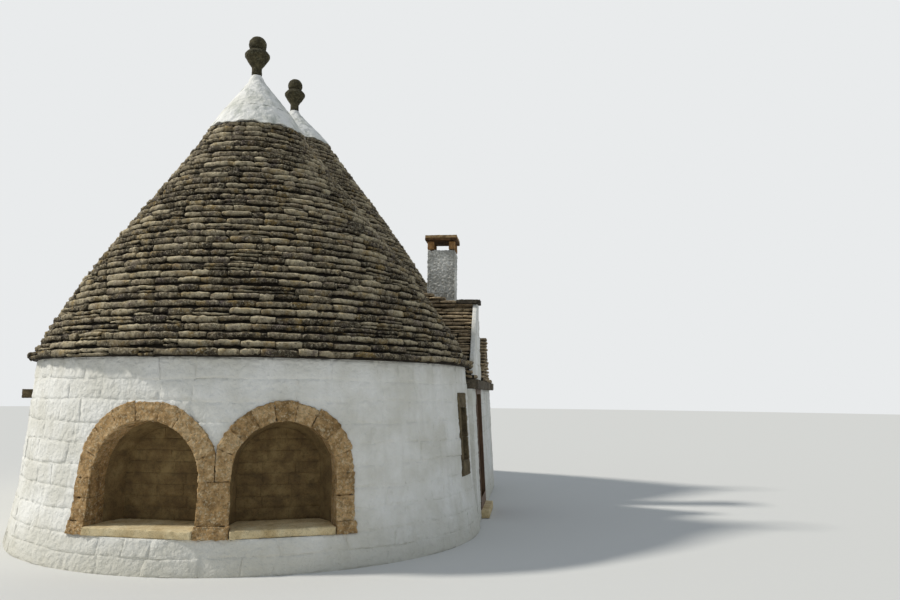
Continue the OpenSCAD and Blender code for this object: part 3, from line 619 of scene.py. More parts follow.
surround_edges = (-WINDOW["half"] - SURROUND_WIDE, WINDOW["half"] + SURROUND_WIDE)
window_stones = [
    dressed_stone(WINDOW, surround_edges, (WINDOW_FOOT - SURROUND_HIGH, WINDOW_FOOT), 0.022, 0.5, 1,
                  SURROUND_BACK),
    dressed_stone(WINDOW, surround_edges, (WINDOW_HEAD, WINDOW_HEAD + SURROUND_HIGH), 0.020, 0.7, 2,
                  SURROUND_BACK),
]
for side, split in ((-1, LEFT_SPLIT), (1, RIGHT_SPLIT)):
    edges = beside(WINDOW, side, SURROUND_WIDE)
    for z_range, tone in (((WINDOW_FOOT, split), 0.3), ((split, WINDOW_HEAD), 0.6)):
        window_stones.append(dressed_stone(WINDOW, edges, z_range, 0.018, tone, 3, SURROUND_BACK))

# Tufa in the wall's shade: the same stone painted drab olive as painted shade, with shallower pits.
shaded_tufa = stone_finish("shaded_window_tufa", ("#4E4534", "#6B5F48", "#85775A"), 110,
                           [("#57513F", 0.6, 45)], 22, 16, tone_share=0.12)
window_surround = joined(window_stones, "window_surround_stones", shaded_tufa, 50)
roughened(window_surround, 0.018, 0.03)
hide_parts("window_surround")


def timber_finish(name, grain_axis):
    """Oak, sawn and left to the sun: long brown grain lines with dark pores, worn matt.

    The lines are drawn 9 mm apart, coarser than real ones, so that they show.
    """
    material, tree, shader = new_finish(name)
    place = add(tree, "ShaderNodeTexCoord").outputs["Object"]
    squeeze = [1000 / 9] * 3
    squeeze[grain_axis] = 1000 / 260
    along_grain = add(tree, "ShaderNodeMapping", {"Vector": place, "Scale": squeeze})
    grain = add(tree, "ShaderNodeTexNoise", {
        "Vector": along_grain.outputs["Vector"], "Scale": 1.0, "Detail": 6.0, "Roughness": 0.6,
        "Distortion": 0.4}).outputs["Fac"]
    tint = add(tree, "ShaderNodeValToRGB", {"Fac": grain}, [
        (0.3, "#33251A"), (0.5, "#5B432E"), (0.7, "#7A5E43")])
    bump = add(tree, "ShaderNodeBump", {"Height": grain, "Distance": 0.002, "Strength": 0.8})
    wire(tree, shader, {"Base Color": tint.outputs["Color"], "Roughness": 0.72,
                        "Normal": bump.outputs["Normal"]})
    return material


upright_timber = timber_finish("weathered_oak_upright", 2)
level_timber = timber_finish("weathered_oak_level", 1)
dress(upright_timber, "window_casement")

# Window glass: clear and smooth with a faint green tint, so that it shows the sky or the dark room.
pane, pane_tree, pane_shader = new_finish("window_glass_pane")
wire(pane_tree, pane_shader, {
    "Base Color": paint("#DDE8E2"), "Roughness": 0.04, "Transmission Weight": 0.9, "IOR": 1.45})
dress(pane, "window_pane")

# Floor and threshold
# Worn limestone flags bedded on the earth, and one thick doorstep slab.
# The threshold is rounded where feet have crossed it.
FLOOR_TOP, FLAG_PROUD, FLAG_JOINT = 0.12, 0.006, 0.004
FLAG_LONG, FLAG_THICK, FLAG_WIDE = 0.55, 0.03, 0.40
FLAG = (FLAG_LONG, FLAG_THICK, FLAG_WIDE)
FRONT_ROOM, MAIN_ROOM = 2.02, 2.87

# Limestone, trodden: a pale buff that differs from flag to flag, almost smooth.
flag_stone = stone_finish("worn_floor_flags", ("#A3977D", "#C2B79C", "#D6CDB6"), 220,
                          [("#8A8069", 0.35, 90)], 18, 2, tone_share=0.3)
flag_block = cut_block(*FLAG, 3, 3, 0.006, 0.002, 40)
rng = np.random.default_rng(41)
flags = []
for axis, reach in ((FRONT_AXIS, FRONT_ROOM), (MAIN_AXIS, MAIN_ROOM)):
    for low_y in np.arange(-reach, reach, FLAG_WIDE):
        half_run = math.sqrt(max(0.01, reach ** 2 - max(abs(low_y), abs(low_y + FLAG_WIDE)) ** 2))
        for low_x, high_x in stone_ends(rng, -half_run, half_run, 0.40, 0.75):
            middle = Vector((axis[0] + (low_x + high_x) / 2, axis[1] + low_y + FLAG_WIDE / 2))
            if axis is FRONT_AXIS and (middle - Vector(MAIN_AXIS)).length < MAIN_ROOM:
                continue

            def where(along, out, up):
                return (axis[0] + between(low_x, high_x, along, FLAG_JOINT),
                        axis[1] + between(low_y, low_y + FLAG_WIDE, 1 - up, FLAG_JOINT),
                        FLOOR_TOP + FLAG_PROUD + out)

            flags.append(lay(flag_block, FLAG, where, rng.random()))
joined(flags, "floor_flags", flag_stone, 40)

# Earth and lime between the flags: a darker grey brown than the stones.
bare_floor = stone_finish("floor_bedding", ("#7C735F", "#8E856E", "#9F967F"), 200,
                          [("#6A6250", 0.4, 90)], 18, 2)
dress(bare_floor, "floor")
weathered("threshold", "doorstep", 0.02, 0.012, 0.08, sill_stone)
dress(lining_stone, "passage_lintel")

# Door
# Six upright boards nailed to three ledges, hung on two forged straps that turn on pins in the near post.
# A ring handle and a keyhole plate are on the outside. It opens inwards.
BOARD_COUNT, BOARD_THICK, BOARD_GAP, BOARD_EDGE = 6, 0.030, 0.0015, 0.004
LEDGE_THICK, LEDGE_HALF, LEDGE_INSET, LEDGE_HEIGHTS = 0.019, 0.065, 0.03, (0.38, 1.00, 1.64)
STRAP_FROM, STRAP_TO, STRAP_HALF, STRAP_HEIGHTS = 0.005, 0.55, 0.022, (0.38, 1.64)
IRON_PROUD, IRON_SUNK, IRON_EDGE = 0.004, 0.001, 0.001
NAIL_RADIUS, NAIL_HEIGHTS = 0.006, (0.55, 1.45)
RING_REACH, RING_THICK, RING_INSET, RING_HEIGHT, RING_OUT = 0.045, 0.006, 0.09, 1.00, 0.010
PLATE_INSETS, PLATE_HEIGHTS = (0.11, 0.07), (1.025, 1.07)
leaf_low, leaf_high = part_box("door_leaf")
board_wide = (leaf_high.y - leaf_low.y) / BOARD_COUNT


def board(low, high, edge):
    """Saws a board between two corners and eases its edges."""
    select_only()
    middle = [(a + b) / 2 for a, b in zip(low, high)]
    bpy.ops.mesh.primitive_cube_add(size=1, location=middle, scale=[b - a for a, b in zip(low, high)])
    bpy.ops.object.transform_apply(location=True, rotation=True, scale=True)
    made = bpy.context.object
    eased = made.modifiers.new("Eased", "BEVEL")
    eased.width, eased.segments = edge, 2
    bpy.ops.object.modifier_apply(modifier=eased.name)
    return made


boards = [board((leaf_high.x - BOARD_THICK, leaf_low.y + i * board_wide + BOARD_GAP, leaf_low.z),
                (leaf_high.x, leaf_low.y + (i + 1) * board_wide - BOARD_GAP, leaf_high.z), BOARD_EDGE)
          for i in range(BOARD_COUNT)]
door_boards = joined(boards, "door_boards", upright_timber, 40, "door")
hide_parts("door_leaf")
ledges = [board((leaf_low.x, leaf_low.y + LEDGE_INSET, z - LEDGE_HALF),
                (leaf_low.x + LEDGE_THICK, leaf_high.y - LEDGE_INSET, z + LEDGE_HALF), BOARD_EDGE)
          for z in LEDGE_HEIGHTS]
joined(ledges, "door_ledges", level_timber, 40, "door")

# Iron, forged by hand: near black with rusty brown patches, a dull sheen on its flats.
iron, iron_tree, iron_shader = new_finish("forged_iron_black")
iron_place = add(iron_tree, "ShaderNodeTexCoord").outputs["Object"]
iron_scale = add(iron_tree, "ShaderNodeTexNoise", {"Vector": iron_place, "Scale": 1000 / 12, "Detail": 5.0})
iron_tint = add(iron_tree, "ShaderNodeValToRGB", {"Fac": iron_scale.outputs["Fac"]}, [
    (0.35, "#1E1C1B"), (0.7, "#4A3A30")])
wire(iron_tree, iron_shader, {"Base Color": iron_tint.outputs["Color"], "Metallic": 0.7, "Roughness": 0.6})

ironwork = [board((leaf_low.x - IRON_PROUD, leaf_low.y + STRAP_FROM, z - STRAP_HALF),
                  (leaf_low.x + IRON_SUNK, leaf_low.y + STRAP_TO, z + STRAP_HALF), IRON_EDGE)
            for z in STRAP_HEIGHTS]
for z in NAIL_HEIGHTS:
    for i in range(BOARD_COUNT):
        select_only()
        bpy.ops.mesh.primitive_uv_sphere_add(
            segments=10, ring_count=6, radius=NAIL_RADIUS,
            location=(leaf_high.x, leaf_low.y + (i + 0.5) * board_wide, z))
        ironwork.append(bpy.context.object)
select_only()
bpy.ops.mesh.primitive_torus_add(
    location=(leaf_high.x + RING_OUT, leaf_high.y - RING_INSET, RING_HEIGHT),
    rotation=(0, math.radians(90), 0),
    major_radius=RING_REACH, minor_radius=RING_THICK, major_segments=28, minor_segments=8)
bpy.ops.object.transform_apply(location=True, rotation=True, scale=True)
ironwork.append(bpy.context.object)
ironwork.append(board((leaf_high.x - IRON_SUNK, leaf_high.y - PLATE_INSETS[0], PLATE_HEIGHTS[0]),
                      (leaf_high.x + IRON_PROUD, leaf_high.y - PLATE_INSETS[1], PLATE_HEIGHTS[1]), IRON_EDGE))
joined(ironwork, "door_ironwork", iron, 40, "door")
dress(upright_timber, "door_frame")

# Cones
# Grey limestone slabs 5 to 8 cm thick, split from the fields and laid dry in level rings that close inwards.
# Each slab tips outwards a little, and its broken edge is darkened by lichen.
COURSE_HIGH, EAVE_COURSES = 0.094, 1
TIP_SHARE, FLANK_RUN = 0.0385, 0.958   # shares of the reach: left at the tip, and lost on the way up
# Each cone has its axis, its reach at the eaves, its height and number of rings, its tip's drift along X, and
# the swelling of its flank low down and over its whole height, as shares of the reach.
FRONT_CONE = {"axis": FRONT_AXIS, "eave": 3.045, "high": 4.46, "count": 37, "drift": -0.345, "low": 0.021,
              "whole": 0.0}
MAIN_CONE = {"axis": MAIN_AXIS, "eave": 3.995, "high": 5.59, "count": 51, "drift": 0.0, "low": 0.005,
             "whole": 0.045}
SLAB, FULL_TURN = (0.34, 0.17, 0.074), 6.28
SPLIT_SHARE = 0.14   # of the slabs are two thin ones, one on the other
CHIMNEY_X, CHIMNEY_Y, CHIMNEY_HALF = 2.30, 2.64, 0.25
FRONT_COVER, MAIN_COVER = 0.05, 0.9   # how far inside the other cone a slab is left out

# Limestone slabs, split and weathered: brown grey to bone by the slab, with black, ochre, mauve and pale
# lichen, rough broken edges, and painted shade low on each slab under a painted highlight along its top.
slab_stone = stone_finish("lichened_limestone_slab", ("#4C4436", "#93866D", "#CDBF9F"), 70,
                          [("#38322A", 0.75, 42), ("#AE9258", 0.6, 130), ("#75686A", 0.4, 170),
                           ("#DACFB2", 0.75, 26)], 20, 26, tone_share=0.42, painted_light_share=0.50)
front_blocks = [cut_block(*SLAB, 7, 1, 0.012, 0.008, seed) for seed in range(50, 62)]
roof_blocks = [cut_block(*SLAB, 4, 1, 0.012, 0.008, seed) for seed in range(70, 82)]


def ring_reach(cone, i):
    """Outer radius of a cone's ring of slabs, counted from the eaves."""
    if i < EAVE_COURSES:
        return cone["eave"]
    t = (i + 0.5) * COURSE_HIGH / cone["high"]
    share = (TIP_SHARE + FLANK_RUN * (1 - t) + cone["low"] * math.sin(2 * math.pi * t)
             + cone["whole"] * math.sin(math.pi * t))
    return cone["eave"] * min(1, share)


def ring_axis(cone, i):
    """The middle of a cone's ring, which drifts as the cone leans."""
    return Vector((cone["axis"][0] + cone["drift"] * i * COURSE_HIGH / cone["high"], cone["axis"][1]))


def slab_course(rng, start, end, place, z, pitch, lengths, keep=None, blocks=roof_blocks):
    """Lays one run of slabs, where place(s, out) gives the spot s along the run and out from its face.

    Each slab is split, set out, lifted, turned, tipped and sagged by its own draws, and its nose is lumpy.
    """
    laid = []
    for low, high in stone_ends(rng, start, end, *lengths):
        if keep and not keep((low + high) / 2):
            continue
        split = rng.random() < SPLIT_SHARE
        for foot, head in ((0.14, 0.48), (0.58, 1.0)) if split else ((rng.uniform(0.12, 0.42), 1.0),):
            proud, lift = rng.uniform(-0.008, 0.016), rng.uniform(-0.09, 0.05) * pitch
            skew, slope = rng.uniform(-0.018, 0.018), rng.uniform(0.02, 0.10)
            sag, turns = rng.uniform(-0.13, 0.13) * pitch, (high - low) / rng.uniform(0.07, 0.16)
            phase, second = rng.uniform(0, FULL_TURN, 2)
            round_near, round_far = rng.uniform(0.006, 0.030, 2)

            def where(along, out, up):
                ends = np.abs(2 * along - 1) ** 4
                lumps = np.sin(FULL_TURN * turns * along + phase)
                rounding = np.where(along < 0.5, round_near, round_far)
                nose = 0.006 * lumps - rounding * ends - 0.009 * (2 * up - 1) ** 2
                s = between(low, high, along, JOINT)
                x, y = place(s, proud + out + skew * (along - 0.5) + nose)
                level = foot + up * (head - foot) - 0.14 * ends * (up - 0.5)
                uneven = 0.05 * np.sin(9.4 * turns * along + second) * (1.3 - up)
                tipped = lift + sag * (along - 0.5) - slope * (out + 0.06)
                return x, y, z + pitch * (level + uneven) + tipped

            laid.append(lay_any(rng, blocks, SLAB, where))
    return laid


def cone_slabs(rng, cone, blocked, blocks):
    """Lays every ring of a cone, leaving out slabs whose middle is inside another solid."""
    laid = []
    for i in range(cone["count"]):
        reach, middle = ring_reach(cone, i), ring_axis(cone, i)
        turn = rng.uniform(0, 0.3)

        def place(s, out):
            a = s / reach
            return middle.x + (reach + out) * np.sin(a), middle.y - (reach + out) * np.cos(a)

        def keep(s):
            return not blocked(i, *place(s, 0.0))

        laid += slab_course(rng, turn, turn + 2 * math.pi * reach, place, WALL_TOP + i * COURSE_HIGH,
                            COURSE_HIGH, (min(0.15, reach / 3), min(0.48, reach / 1.5)), keep, blocks)
    return laid


def deeper_than(cone, i, x, y, depth):
    """Tells whether a place on course i is more than a depth inside the cone."""
    return (Vector((x, y)) - ring_axis(cone, i)).length < ring_reach(cone, i) - depth


def behind_front_cone(i, x, y):
    """Tells whether the front cone or the chimney takes a slab's place on the main cone."""
    in_chimney = abs(x - CHIMNEY_X) < CHIMNEY_HALF and abs(y - CHIMNEY_Y) < CHIMNEY_HALF
    return in_chimney or (i < FRONT_CONE["count"] and deeper_than(FRONT_CONE, i, x, y, FRONT_COVER))


def behind_main_cone(i, x, y):
    """Tells whether a slab of the front cone is buried in the main one."""
    return deeper_than(MAIN_CONE, i, x, y, MAIN_COVER)


for name, seed, cone, blocked, blocks in (
        ("front_cone_slabs", 51, FRONT_CONE, behind_main_cone, front_blocks),
        ("main_cone_slabs", 52, MAIN_CONE, behind_front_cone, roof_blocks)):
    laid = cone_slabs(np.random.default_rng(seed), cone, blocked, blocks)
    roughened(joined(laid, name, slab_stone, 35), 0.030, 0.035)

# Cores of the cones
# Rubble and earth packed behind the slabs' broken edges, set back so that it only shows in the joints.
# Inside, the same rings end in the dressed soffit of the dome.
CORE_BACK, ON_RING, SHELL_THICK = 0.05, 0.003, 0.4

# Packed earth, painted nearly black brown as painted shade, so that the joints read as deep and dark.
joint_shadow = stone_finish("earth_and_painted_shade_joint", ("#211D18", "#2C2720", "#3A332A"), 90,
                            [("#1B1813", 0.6, 50)], 20, 6)

# Limestone, dressed to the curve of the dome: an even grey buff.
dome_stone = stone_finish("corbelled_dome_limestone", ("#8A7F6A", "#A79B83", "#BFB49C"), 160,
                          [("#6E6554", 0.5, 90)], 18, 5)


def rubble_core(nodes, name, pull, dressed, is_dressed):
    """Copies CAD solids, pulls their outer faces in behind the slabs, and finishes the dressed faces."""
    copies = []
    for node in nodes:
        copies.append(bpy.data.objects.new(name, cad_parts[node].data.copy()))
        bpy.context.collection.objects.link(copies[-1])
    select_only(*copies)
    bpy.ops.object.join()
    piece = bpy.context.object
    piece.name = name
    corners = np.empty(len(piece.data.vertices) * 3)
    piece.data.vertices.foreach_get("co", corners)
    piece.data.vertices.foreach_set("co", np.column_stack(pull(*corners.reshape(-1, 3).T)).ravel())
    piece.data.materials.clear()
    piece.data.materials.append(joint_shadow)
    piece.data.materials.append(dressed)
    piece.data.update()
    for face in piece.data.polygons:
        face.material_index = int(is_dressed(face))
    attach(piece, "house")
    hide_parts(*nodes)


def cone_pull(cone):
    """Moves the corners on a cone's rings inwards, whichever of two courses they belong to."""
    reaches = np.array([ring_reach(cone, i) for i in range(cone["count"])])
    axes = np.array([ring_axis(cone, i).x for i in range(cone["count"])])

    def pull(x, y, z):
        y_axis = cone["axis"][1]
        for shift in (0, 1):
            i = np.clip(np.round((z - WALL_TOP) / COURSE_HIGH).astype(int) - shift, 0, cone["count"] - 1)
            r = np.hypot(x - axes[i], y - y_axis)
            share = np.where(np.abs(r - reaches[i]) < ON_RING, (reaches[i] - CORE_BACK) / reaches[i], 1.0)
            x, y = axes[i] + (x - axes[i]) * share, y_axis + (y - y_axis) * share
        return x, y, z

    return pull


def inside_dome(cone):
    """Tells the faces of the dome from those behind the slabs."""
    def inner(face):
        i = min(max(int((face.center.z - WALL_TOP) / COURSE_HIGH), 0), cone["count"] - 1)
        return deeper_than(cone, i, face.center.x, face.center.y, SHELL_THICK)

    return inner


for side, cone in (("front", FRONT_CONE), ("main", MAIN_CONE)):
    rubble_core([f"{side}_eaves", f"{side}_cone"], f"{side}_cone_core", cone_pull(cone), dome_stone,
                inside_dome(cone))

# Cornice
# One course of thick limestone slabs is laid dry along the top of the entrance front.
# It stands proud of the wall and tips outwards, so that the rain drips clear of the limewash.
CORNICE_TOP, CORNICE_X, CORNICE_TIP = 2.10, 3.105, 0.03
CORNICE_SLAB = (0.60, 0.50, 0.14)
cornice_blocks = [cut_block(*CORNICE_SLAB, 6, 2, 0.012, 0.008, seed) for seed in range(60, 63)]
rng = np.random.default_rng(61)
cornice_slabs = []
for low, high in stone_ends(rng, FRONT_NEAR_Y, FRONT_FAR_Y, 0.42, 0.80):
    proud = rng.uniform(-0.022, 0.002)

    def where(along, out, up):
        return (CORNICE_X + proud + out, between(low, high, along, JOINT),
                CORNICE_TOP - CORNICE_SLAB[2] * (1 - up) - CORNICE_TIP * (out + 0.05))

    cornice_slabs.append(lay_any(rng, cornice_blocks, CORNICE_SLAB, where))

# Limestone slabs under the drip of the roof, painted dark grey brown as shade, with black lichen and a few
# pale chips.
cornice_stone = stone_finish("dark_cornice_slab", ("#423C33", "#5D5548", "#7A705F"), 120,
                             [("#35302A", 0.5, 50), ("#9A907C", 0.4, 28)], 20, 16, tone_share=0.2)
cornice = joined(cornice_slabs, "cornice_slabs", cornice_stone, 40)
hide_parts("cornice")

# Slab roofs of the entrance
# Thinner slabs cover the entrance front, laid dry over rubble: a skirt up to the cones, and two gables.
# The courses are level, and each steps back from the one below.
THIN_COURSE, THIN_BACK = 0.062, 0.03
# Each gable has its middle, half width and height, its front, and its number of courses.
GABLE = {"y": 1.60, "half": 0.90, "high": 1.27, "front_x": 2.935, "courses": 20}
REAR_GABLE = {"y": 4.1987, "half": 0.85, "high": 0.87, "front_x": 3.015, "courses": 14}
SKIRT_COURSES, SKIRT_FACE, SKIRT_STEP, SKIRT_FRONT_X = 4, 3.075, 0.065, 2.8
RIDGE_COURSES, RIDGE_END, RIDGE_STEP, RIDGE_HALF = 4, 2.665, 0.19, 0.15
RUN_UNDER, RUN_LEAST = 0.10, 0.08   # how far a run goes in under a cone, and the least that is laid
GABLE_UNDER, GABLE_LEAST = 0.12, 0.1
VERGE = 0.045   # how far the gable wall stands out past the slabs

# Limestone slabs with less lichen than on the cones, lightened to warm sand and straw as painted sunlight.
# Each slab also carries painted shade low down and a painted highlight along its top.
warm_slab = stone_finish("sunlit_gable_slab", ("#84745B", "#B09B7C", "#D0BA94"), 70,
                         [("#5A4E3E", 0.6, 40), ("#D0B78F", 0.5, 90), ("#C2BAAA", 0.5, 24)], 18, 16,
                         tone_share=0.26, painted_light_share=0.5)


def cone_surface_x(level, y):
    """How far towards the entrance the cones reach at a height and a place along the front."""
    reach_x = 0.9
    for cone in (FRONT_CONE, MAIN_CONE):
        i = max(0, int((level - WALL_TOP) / COURSE_HIGH))
        middle, reach = ring_axis(cone, i), ring_reach(cone, i)
        if abs(y - middle.y) < reach:
            reach_x = max(reach_x, middle.x + math.sqrt(reach ** 2 - (y - middle.y) ** 2))
    return reach_x


def gable_reach(gable, i):
    """Half the width of a gable at course i."""
    return gable["half"] * (1 - i * THIN_COURSE / gable["high"])


def side_run(rng, start, end, edge_y, side, z, lengths):
    """Lays slabs along one side of a roof."""
    return slab_course(rng, start, end, lambda s, out: (s, edge_y + side * out), z, THIN_COURSE, lengths)


def front_run(rng, start, end, face_x, z, lengths):
    """Lays slabs along a roof's front, which looks towards +X."""
    return slab_course(rng, start, end, lambda s, out: (face_x + out, s), z, THIN_COURSE, lengths)


def gable_slabs(rng, gable, face_front):
    """Lays both slopes of a gable, and its front where slabs close it."""
    laid = []
    middle, front_x = gable["y"], gable["front_x"]
    for i in range(gable["courses"]):
        z, reach = CORNICE_TOP + i * THIN_COURSE, gable_reach(gable, i)
        for side in (-1, 1):
            edge_y = middle + side * reach
            start = cone_surface_x(z, edge_y) - GABLE_UNDER
            if start < front_x - GABLE_LEAST:
                laid += side_run(rng, start, front_x, edge_y, side, z, (0.16, 0.42))
        if face_front:
            laid += front_run(rng, middle - reach, middle + reach, front_x, z, (0.16, 0.42))
    return laid


rng = np.random.default_rng(62)
gable_laid = gable_slabs(rng, GABLE, False) + gable_slabs(rng, REAR_GABLE, True)
for i in range(SKIRT_COURSES):
    z, face = CORNICE_TOP + i * THIN_COURSE, SKIRT_FACE - i * SKIRT_STEP
    rear = gable_reach(REAR_GABLE, i)
    gaps = [(GABLE["y"] - GABLE["half"] - VERGE, GABLE["y"] + GABLE["half"] + VERGE)]
    if i > 0:
        gaps.append((REAR_GABLE["y"] - rear, REAR_GABLE["y"] + rear))
    for start, end in free_runs(FRONT_NEAR_Y, FRONT_FAR_Y, gaps):
        gable_laid += front_run(rng, start, end, face, z, (0.18, 0.46))
    for end_y, side in ((FRONT_NEAR_Y, -1), (FRONT_FAR_Y, 1)):
        start = cone_surface_x(z, end_y) - RUN_UNDER
        if start < face - RUN_LEAST:
            gable_laid += side_run(rng, start, face, end_y, side, z, (0.14, 0.30))
ridge_foot = CORNICE_TOP + GABLE["courses"] * THIN_COURSE
for i in range(RIDGE_COURSES):
    z, end = ridge_foot + i * THIN_COURSE, RIDGE_END - i * RIDGE_STEP
    for side in (-1, 1):
        edge_y = GABLE["y"] + side * RIDGE_HALF
        start = cone_surface_x(z, edge_y) - RUN_UNDER
        gable_laid += side_run(rng, start, end, edge_y, side, z, (0.14, 0.32))
    gable_laid += front_run(rng, GABLE["y"] - RIDGE_HALF, GABLE["y"] + RIDGE_HALF, end, z, (0.12, 0.20))
joined(gable_laid, "gable_and_skirt_slabs", warm_slab, 40)


def gable_pull(y_mid, front_x=math.inf):
    """Draws a gable's slopes, its ridge's ends and its front behind the slabs."""
    def pull(x, y, z):
        dy = y - y_mid
        y = y_mid + np.sign(dy) * np.where(np.abs(dy) > 0.06, np.abs(dy) - THIN_BACK, np.abs(dy))
        ridge_end = (z > ridge_foot - 0.001) & (x > RIDGE_END - RIDGE_COURSES * RIDGE_STEP)
        return np.where((x > front_x - 0.001) | ridge_end, x - THIN_BACK, x), y, z

    return pull


def skirt_pull(x, y, z):
    """Draws the skirt's front behind the slabs."""
    return np.where(x > SKIRT_FRONT_X, x - THIN_BACK, x), y, z


def tread(face):
    """Tells the level faces, which show from above between the slabs."""
    return face.normal.z > 0.7


rubble_core(["gable_roof"], "gable_roof_core", gable_pull(GABLE["y"]), warm_slab, tread)
rubble_core(["rear_gable_roof"], "rear_gable_core", gable_pull(REAR_GABLE["y"], REAR_GABLE["front_x"]),
            warm_slab, tread)
rubble_core(["skirt_roof"], "skirt_roof_core", skirt_pull, warm_slab, tread)

# White gable wall and its coping
# Limewashed blocks close the front of the gable and stand a little above the slabs beside them.
# One dark slab lies across the tip to throw the rain forward.
GABLE_WALL_COURSES, GABLE_WASH_PROUD = 5, 0.004


def gable_outline(z):
    """The two ends of the gable wall at a height."""
    foot = GABLE["half"] + VERGE
    tip = gable_reach(GABLE, GABLE["courses"] - 1) + VERGE
    reach = foot - (foot - tip) * (z - CORNICE_TOP) / (ridge_foot - CORNICE_TOP)
    return GABLE["y"] - reach, GABLE["y"] + reach


weathered("gable_wall", "gable_wall_core", 0.016, 0.010, 0.06, limewash)
gable_edges = np.linspace(CORNICE_TOP, ridge_foot, GABLE_WALL_COURSES + 1)
gable_facing = joined(
    straight_wall(np.random.default_rng(63), None, gable_edges, lambda z: np.full_like(z, FRONT_TOP_X),
                  GABLE_WASH_PROUD, (), gable_outline),
    "gable_wall_blocks", limewash, 60)
roughened(gable_facing, 0.010, 0.09)

# Limestone slab, split: the darkest stone of the roof, with a little pale lichen.
coping_stone = stone_finish("dark_coping_slab", ("#37332D", "#4C463C", "#645C4E"), 90,
                            [("#7D7565", 0.4, 40)], 20, 14)
weathered("gable_coping", "gable_coping_slab", 0.012, 0.018, 0.05, coping_stone)

# Caps and pinnacles
# The last courses are plastered and limewashed into a smooth cap with a ragged rim. The front cap leans with
# its cone and has a broken seam round it. A neck, cup and ball of carved tufa, gone olive, stand on each.
SEAM_HEIGHT, SEAM_HALF, SEAM_WANDER = 6.10, 0.008, 0.06   # the main cap stands above the seam's height
FRONT_CAP_LEAN = 0.05
RIM_WAVES = ((0.012, 9, 0), (0.008, 23, 1))   # height, waves around the rim and phase

# Lime over plaster: the whitest surface of the house, with long grey green streaks.
cap_wash = limewash_finish("limewash_on_plaster", "#F4F3EE", "#E6E5DC", "#8B9384", 0.62)
cap_tree = cap_wash.node_tree
cap_shader = cap_tree.nodes["Principled BSDF"]
cap_coats = cap_shader.inputs["Base Color"].links[0].from_socket
cap_place = add(cap_tree, "ShaderNodeTexCoord").outputs["Object"]
cap_height = add(cap_tree, "ShaderNodeSeparateXYZ", {"Vector": cap_place}).outputs["Z"]
wander = add(cap_tree, "ShaderNodeTexNoise", {"Vector": cap_place, "Scale": 1000 / 350, "Detail": 3.0})
seam_height = add(cap_tree, "ShaderNodeMath", {
    0: wander.outputs["Fac"], 1: SEAM_WANDER, 2: cap_height}, operation="MULTIPLY_ADD")
on_seam = add(cap_tree, "ShaderNodeMath", {
    0: seam_height.outputs[0], 1: SEAM_HEIGHT, 2: SEAM_HALF}, operation="COMPARE")
breaks = add(cap_tree, "ShaderNodeTexNoise", {"Vector": cap_place, "Scale": 1000 / 110, "Detail": 2.0})
broken = add(cap_tree, "ShaderNodeMapRange", {
    "Value": breaks.outputs["Fac"], "From Min": 0.44, "From Max": 0.56, "To Max": 0.7})
seam = add(cap_tree, "ShaderNodeMath", {
    0: on_seam.outputs[0], 1: broken.outputs["Result"]}, operation="MULTIPLY")
seamed = add(cap_tree, "ShaderNodeMix", {
    0: seam.outputs[0], 6: cap_coats, 7: paint("#7B7D70")}, data_type="RGBA")
wire(cap_tree, cap_shader, {"Base Color": seamed.outputs[2]})

# Tufa, carved, under lichen: dark olive with grey green spots, painted darker still as shade.
pinnacle_stone = stone_finish("lichened_and_shaded_pinnacle_tufa", ("#29271B", "#443F2D", "#615A42"), 80,
                              [("#7C7A64", 0.45, 35)], 18, 14)
for cone, lean in (("front", FRONT_CAP_LEAN), ("main", 0.0)):
    cap = weathered(f"{cone}_cap", f"{cone}_cap_plaster", 0.018, 0.016, 0.07, cap_wash)
    cap_low, cap_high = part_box(f"{cone}_cap")
    for corner in cap.data.vertices:
        spot = corner.co
        rise = min(max((spot.z - cap_low.z) / (cap_high.z - cap_low.z), 0.0), 1.0)
        bearing = math.atan2(spot.x - (cap_low.x + cap_high.x) / 2, (cap_low.y + cap_high.y) / 2 - spot.y)
        ragged = sum(height * math.sin(count * bearing + phase) for height, count, phase in RIM_WAVES)
        spot.x += lean * (1 - rise ** 2)
        spot.z += ragged * (1 - rise) ** 6
    weathered(f"{cone}_cup", f"{cone}_cup_stone", 0.010, 0.012, 0.03, pinnacle_stone)
    weathered(f"{cone}_ball", f"{cone}_ball_stone", 0.010, 0.014, 0.03, pinnacle_stone)

# Chimney
# A rough rubble shaft under thick limewash that comes up through the roof slabs beside the gable.
# Four tufa corner stones hold a tufa slab over it that keeps the rain out.
# The painted highlight on the cap slab's top starts and is full at these heights.
LIT_TOP_FROM, LIT_TOP_FULL = 4.632, 4.648   # heights near the top of the slab

# Lime over rubble, seldom renewed: off white with heavy grey streaks below the slab.
rubble_wash = limewash_finish("limewash_on_rubble", "#E6E5DE", "#A9A8A0", "#7C7B72", 0.7)
weathered("chimney_shaft", "chimney_rubble_shaft", 0.013, 0.036, 0.030, rubble_wash, "VORONOI")

# Tufa, hewn: orange brown with grey crusts, fresher than the arches.
chimney_tufa = stone_finish("weathered_chimney_tufa", ("#8A6238", "#A87C4E", "#C39A68"), 120,
                            [("#7E7460", 0.5, 50)], 18, 7)
weathered("chimney_corners", "chimney_corner_stones", 0.012, 0.014, 0.03, chimney_tufa)
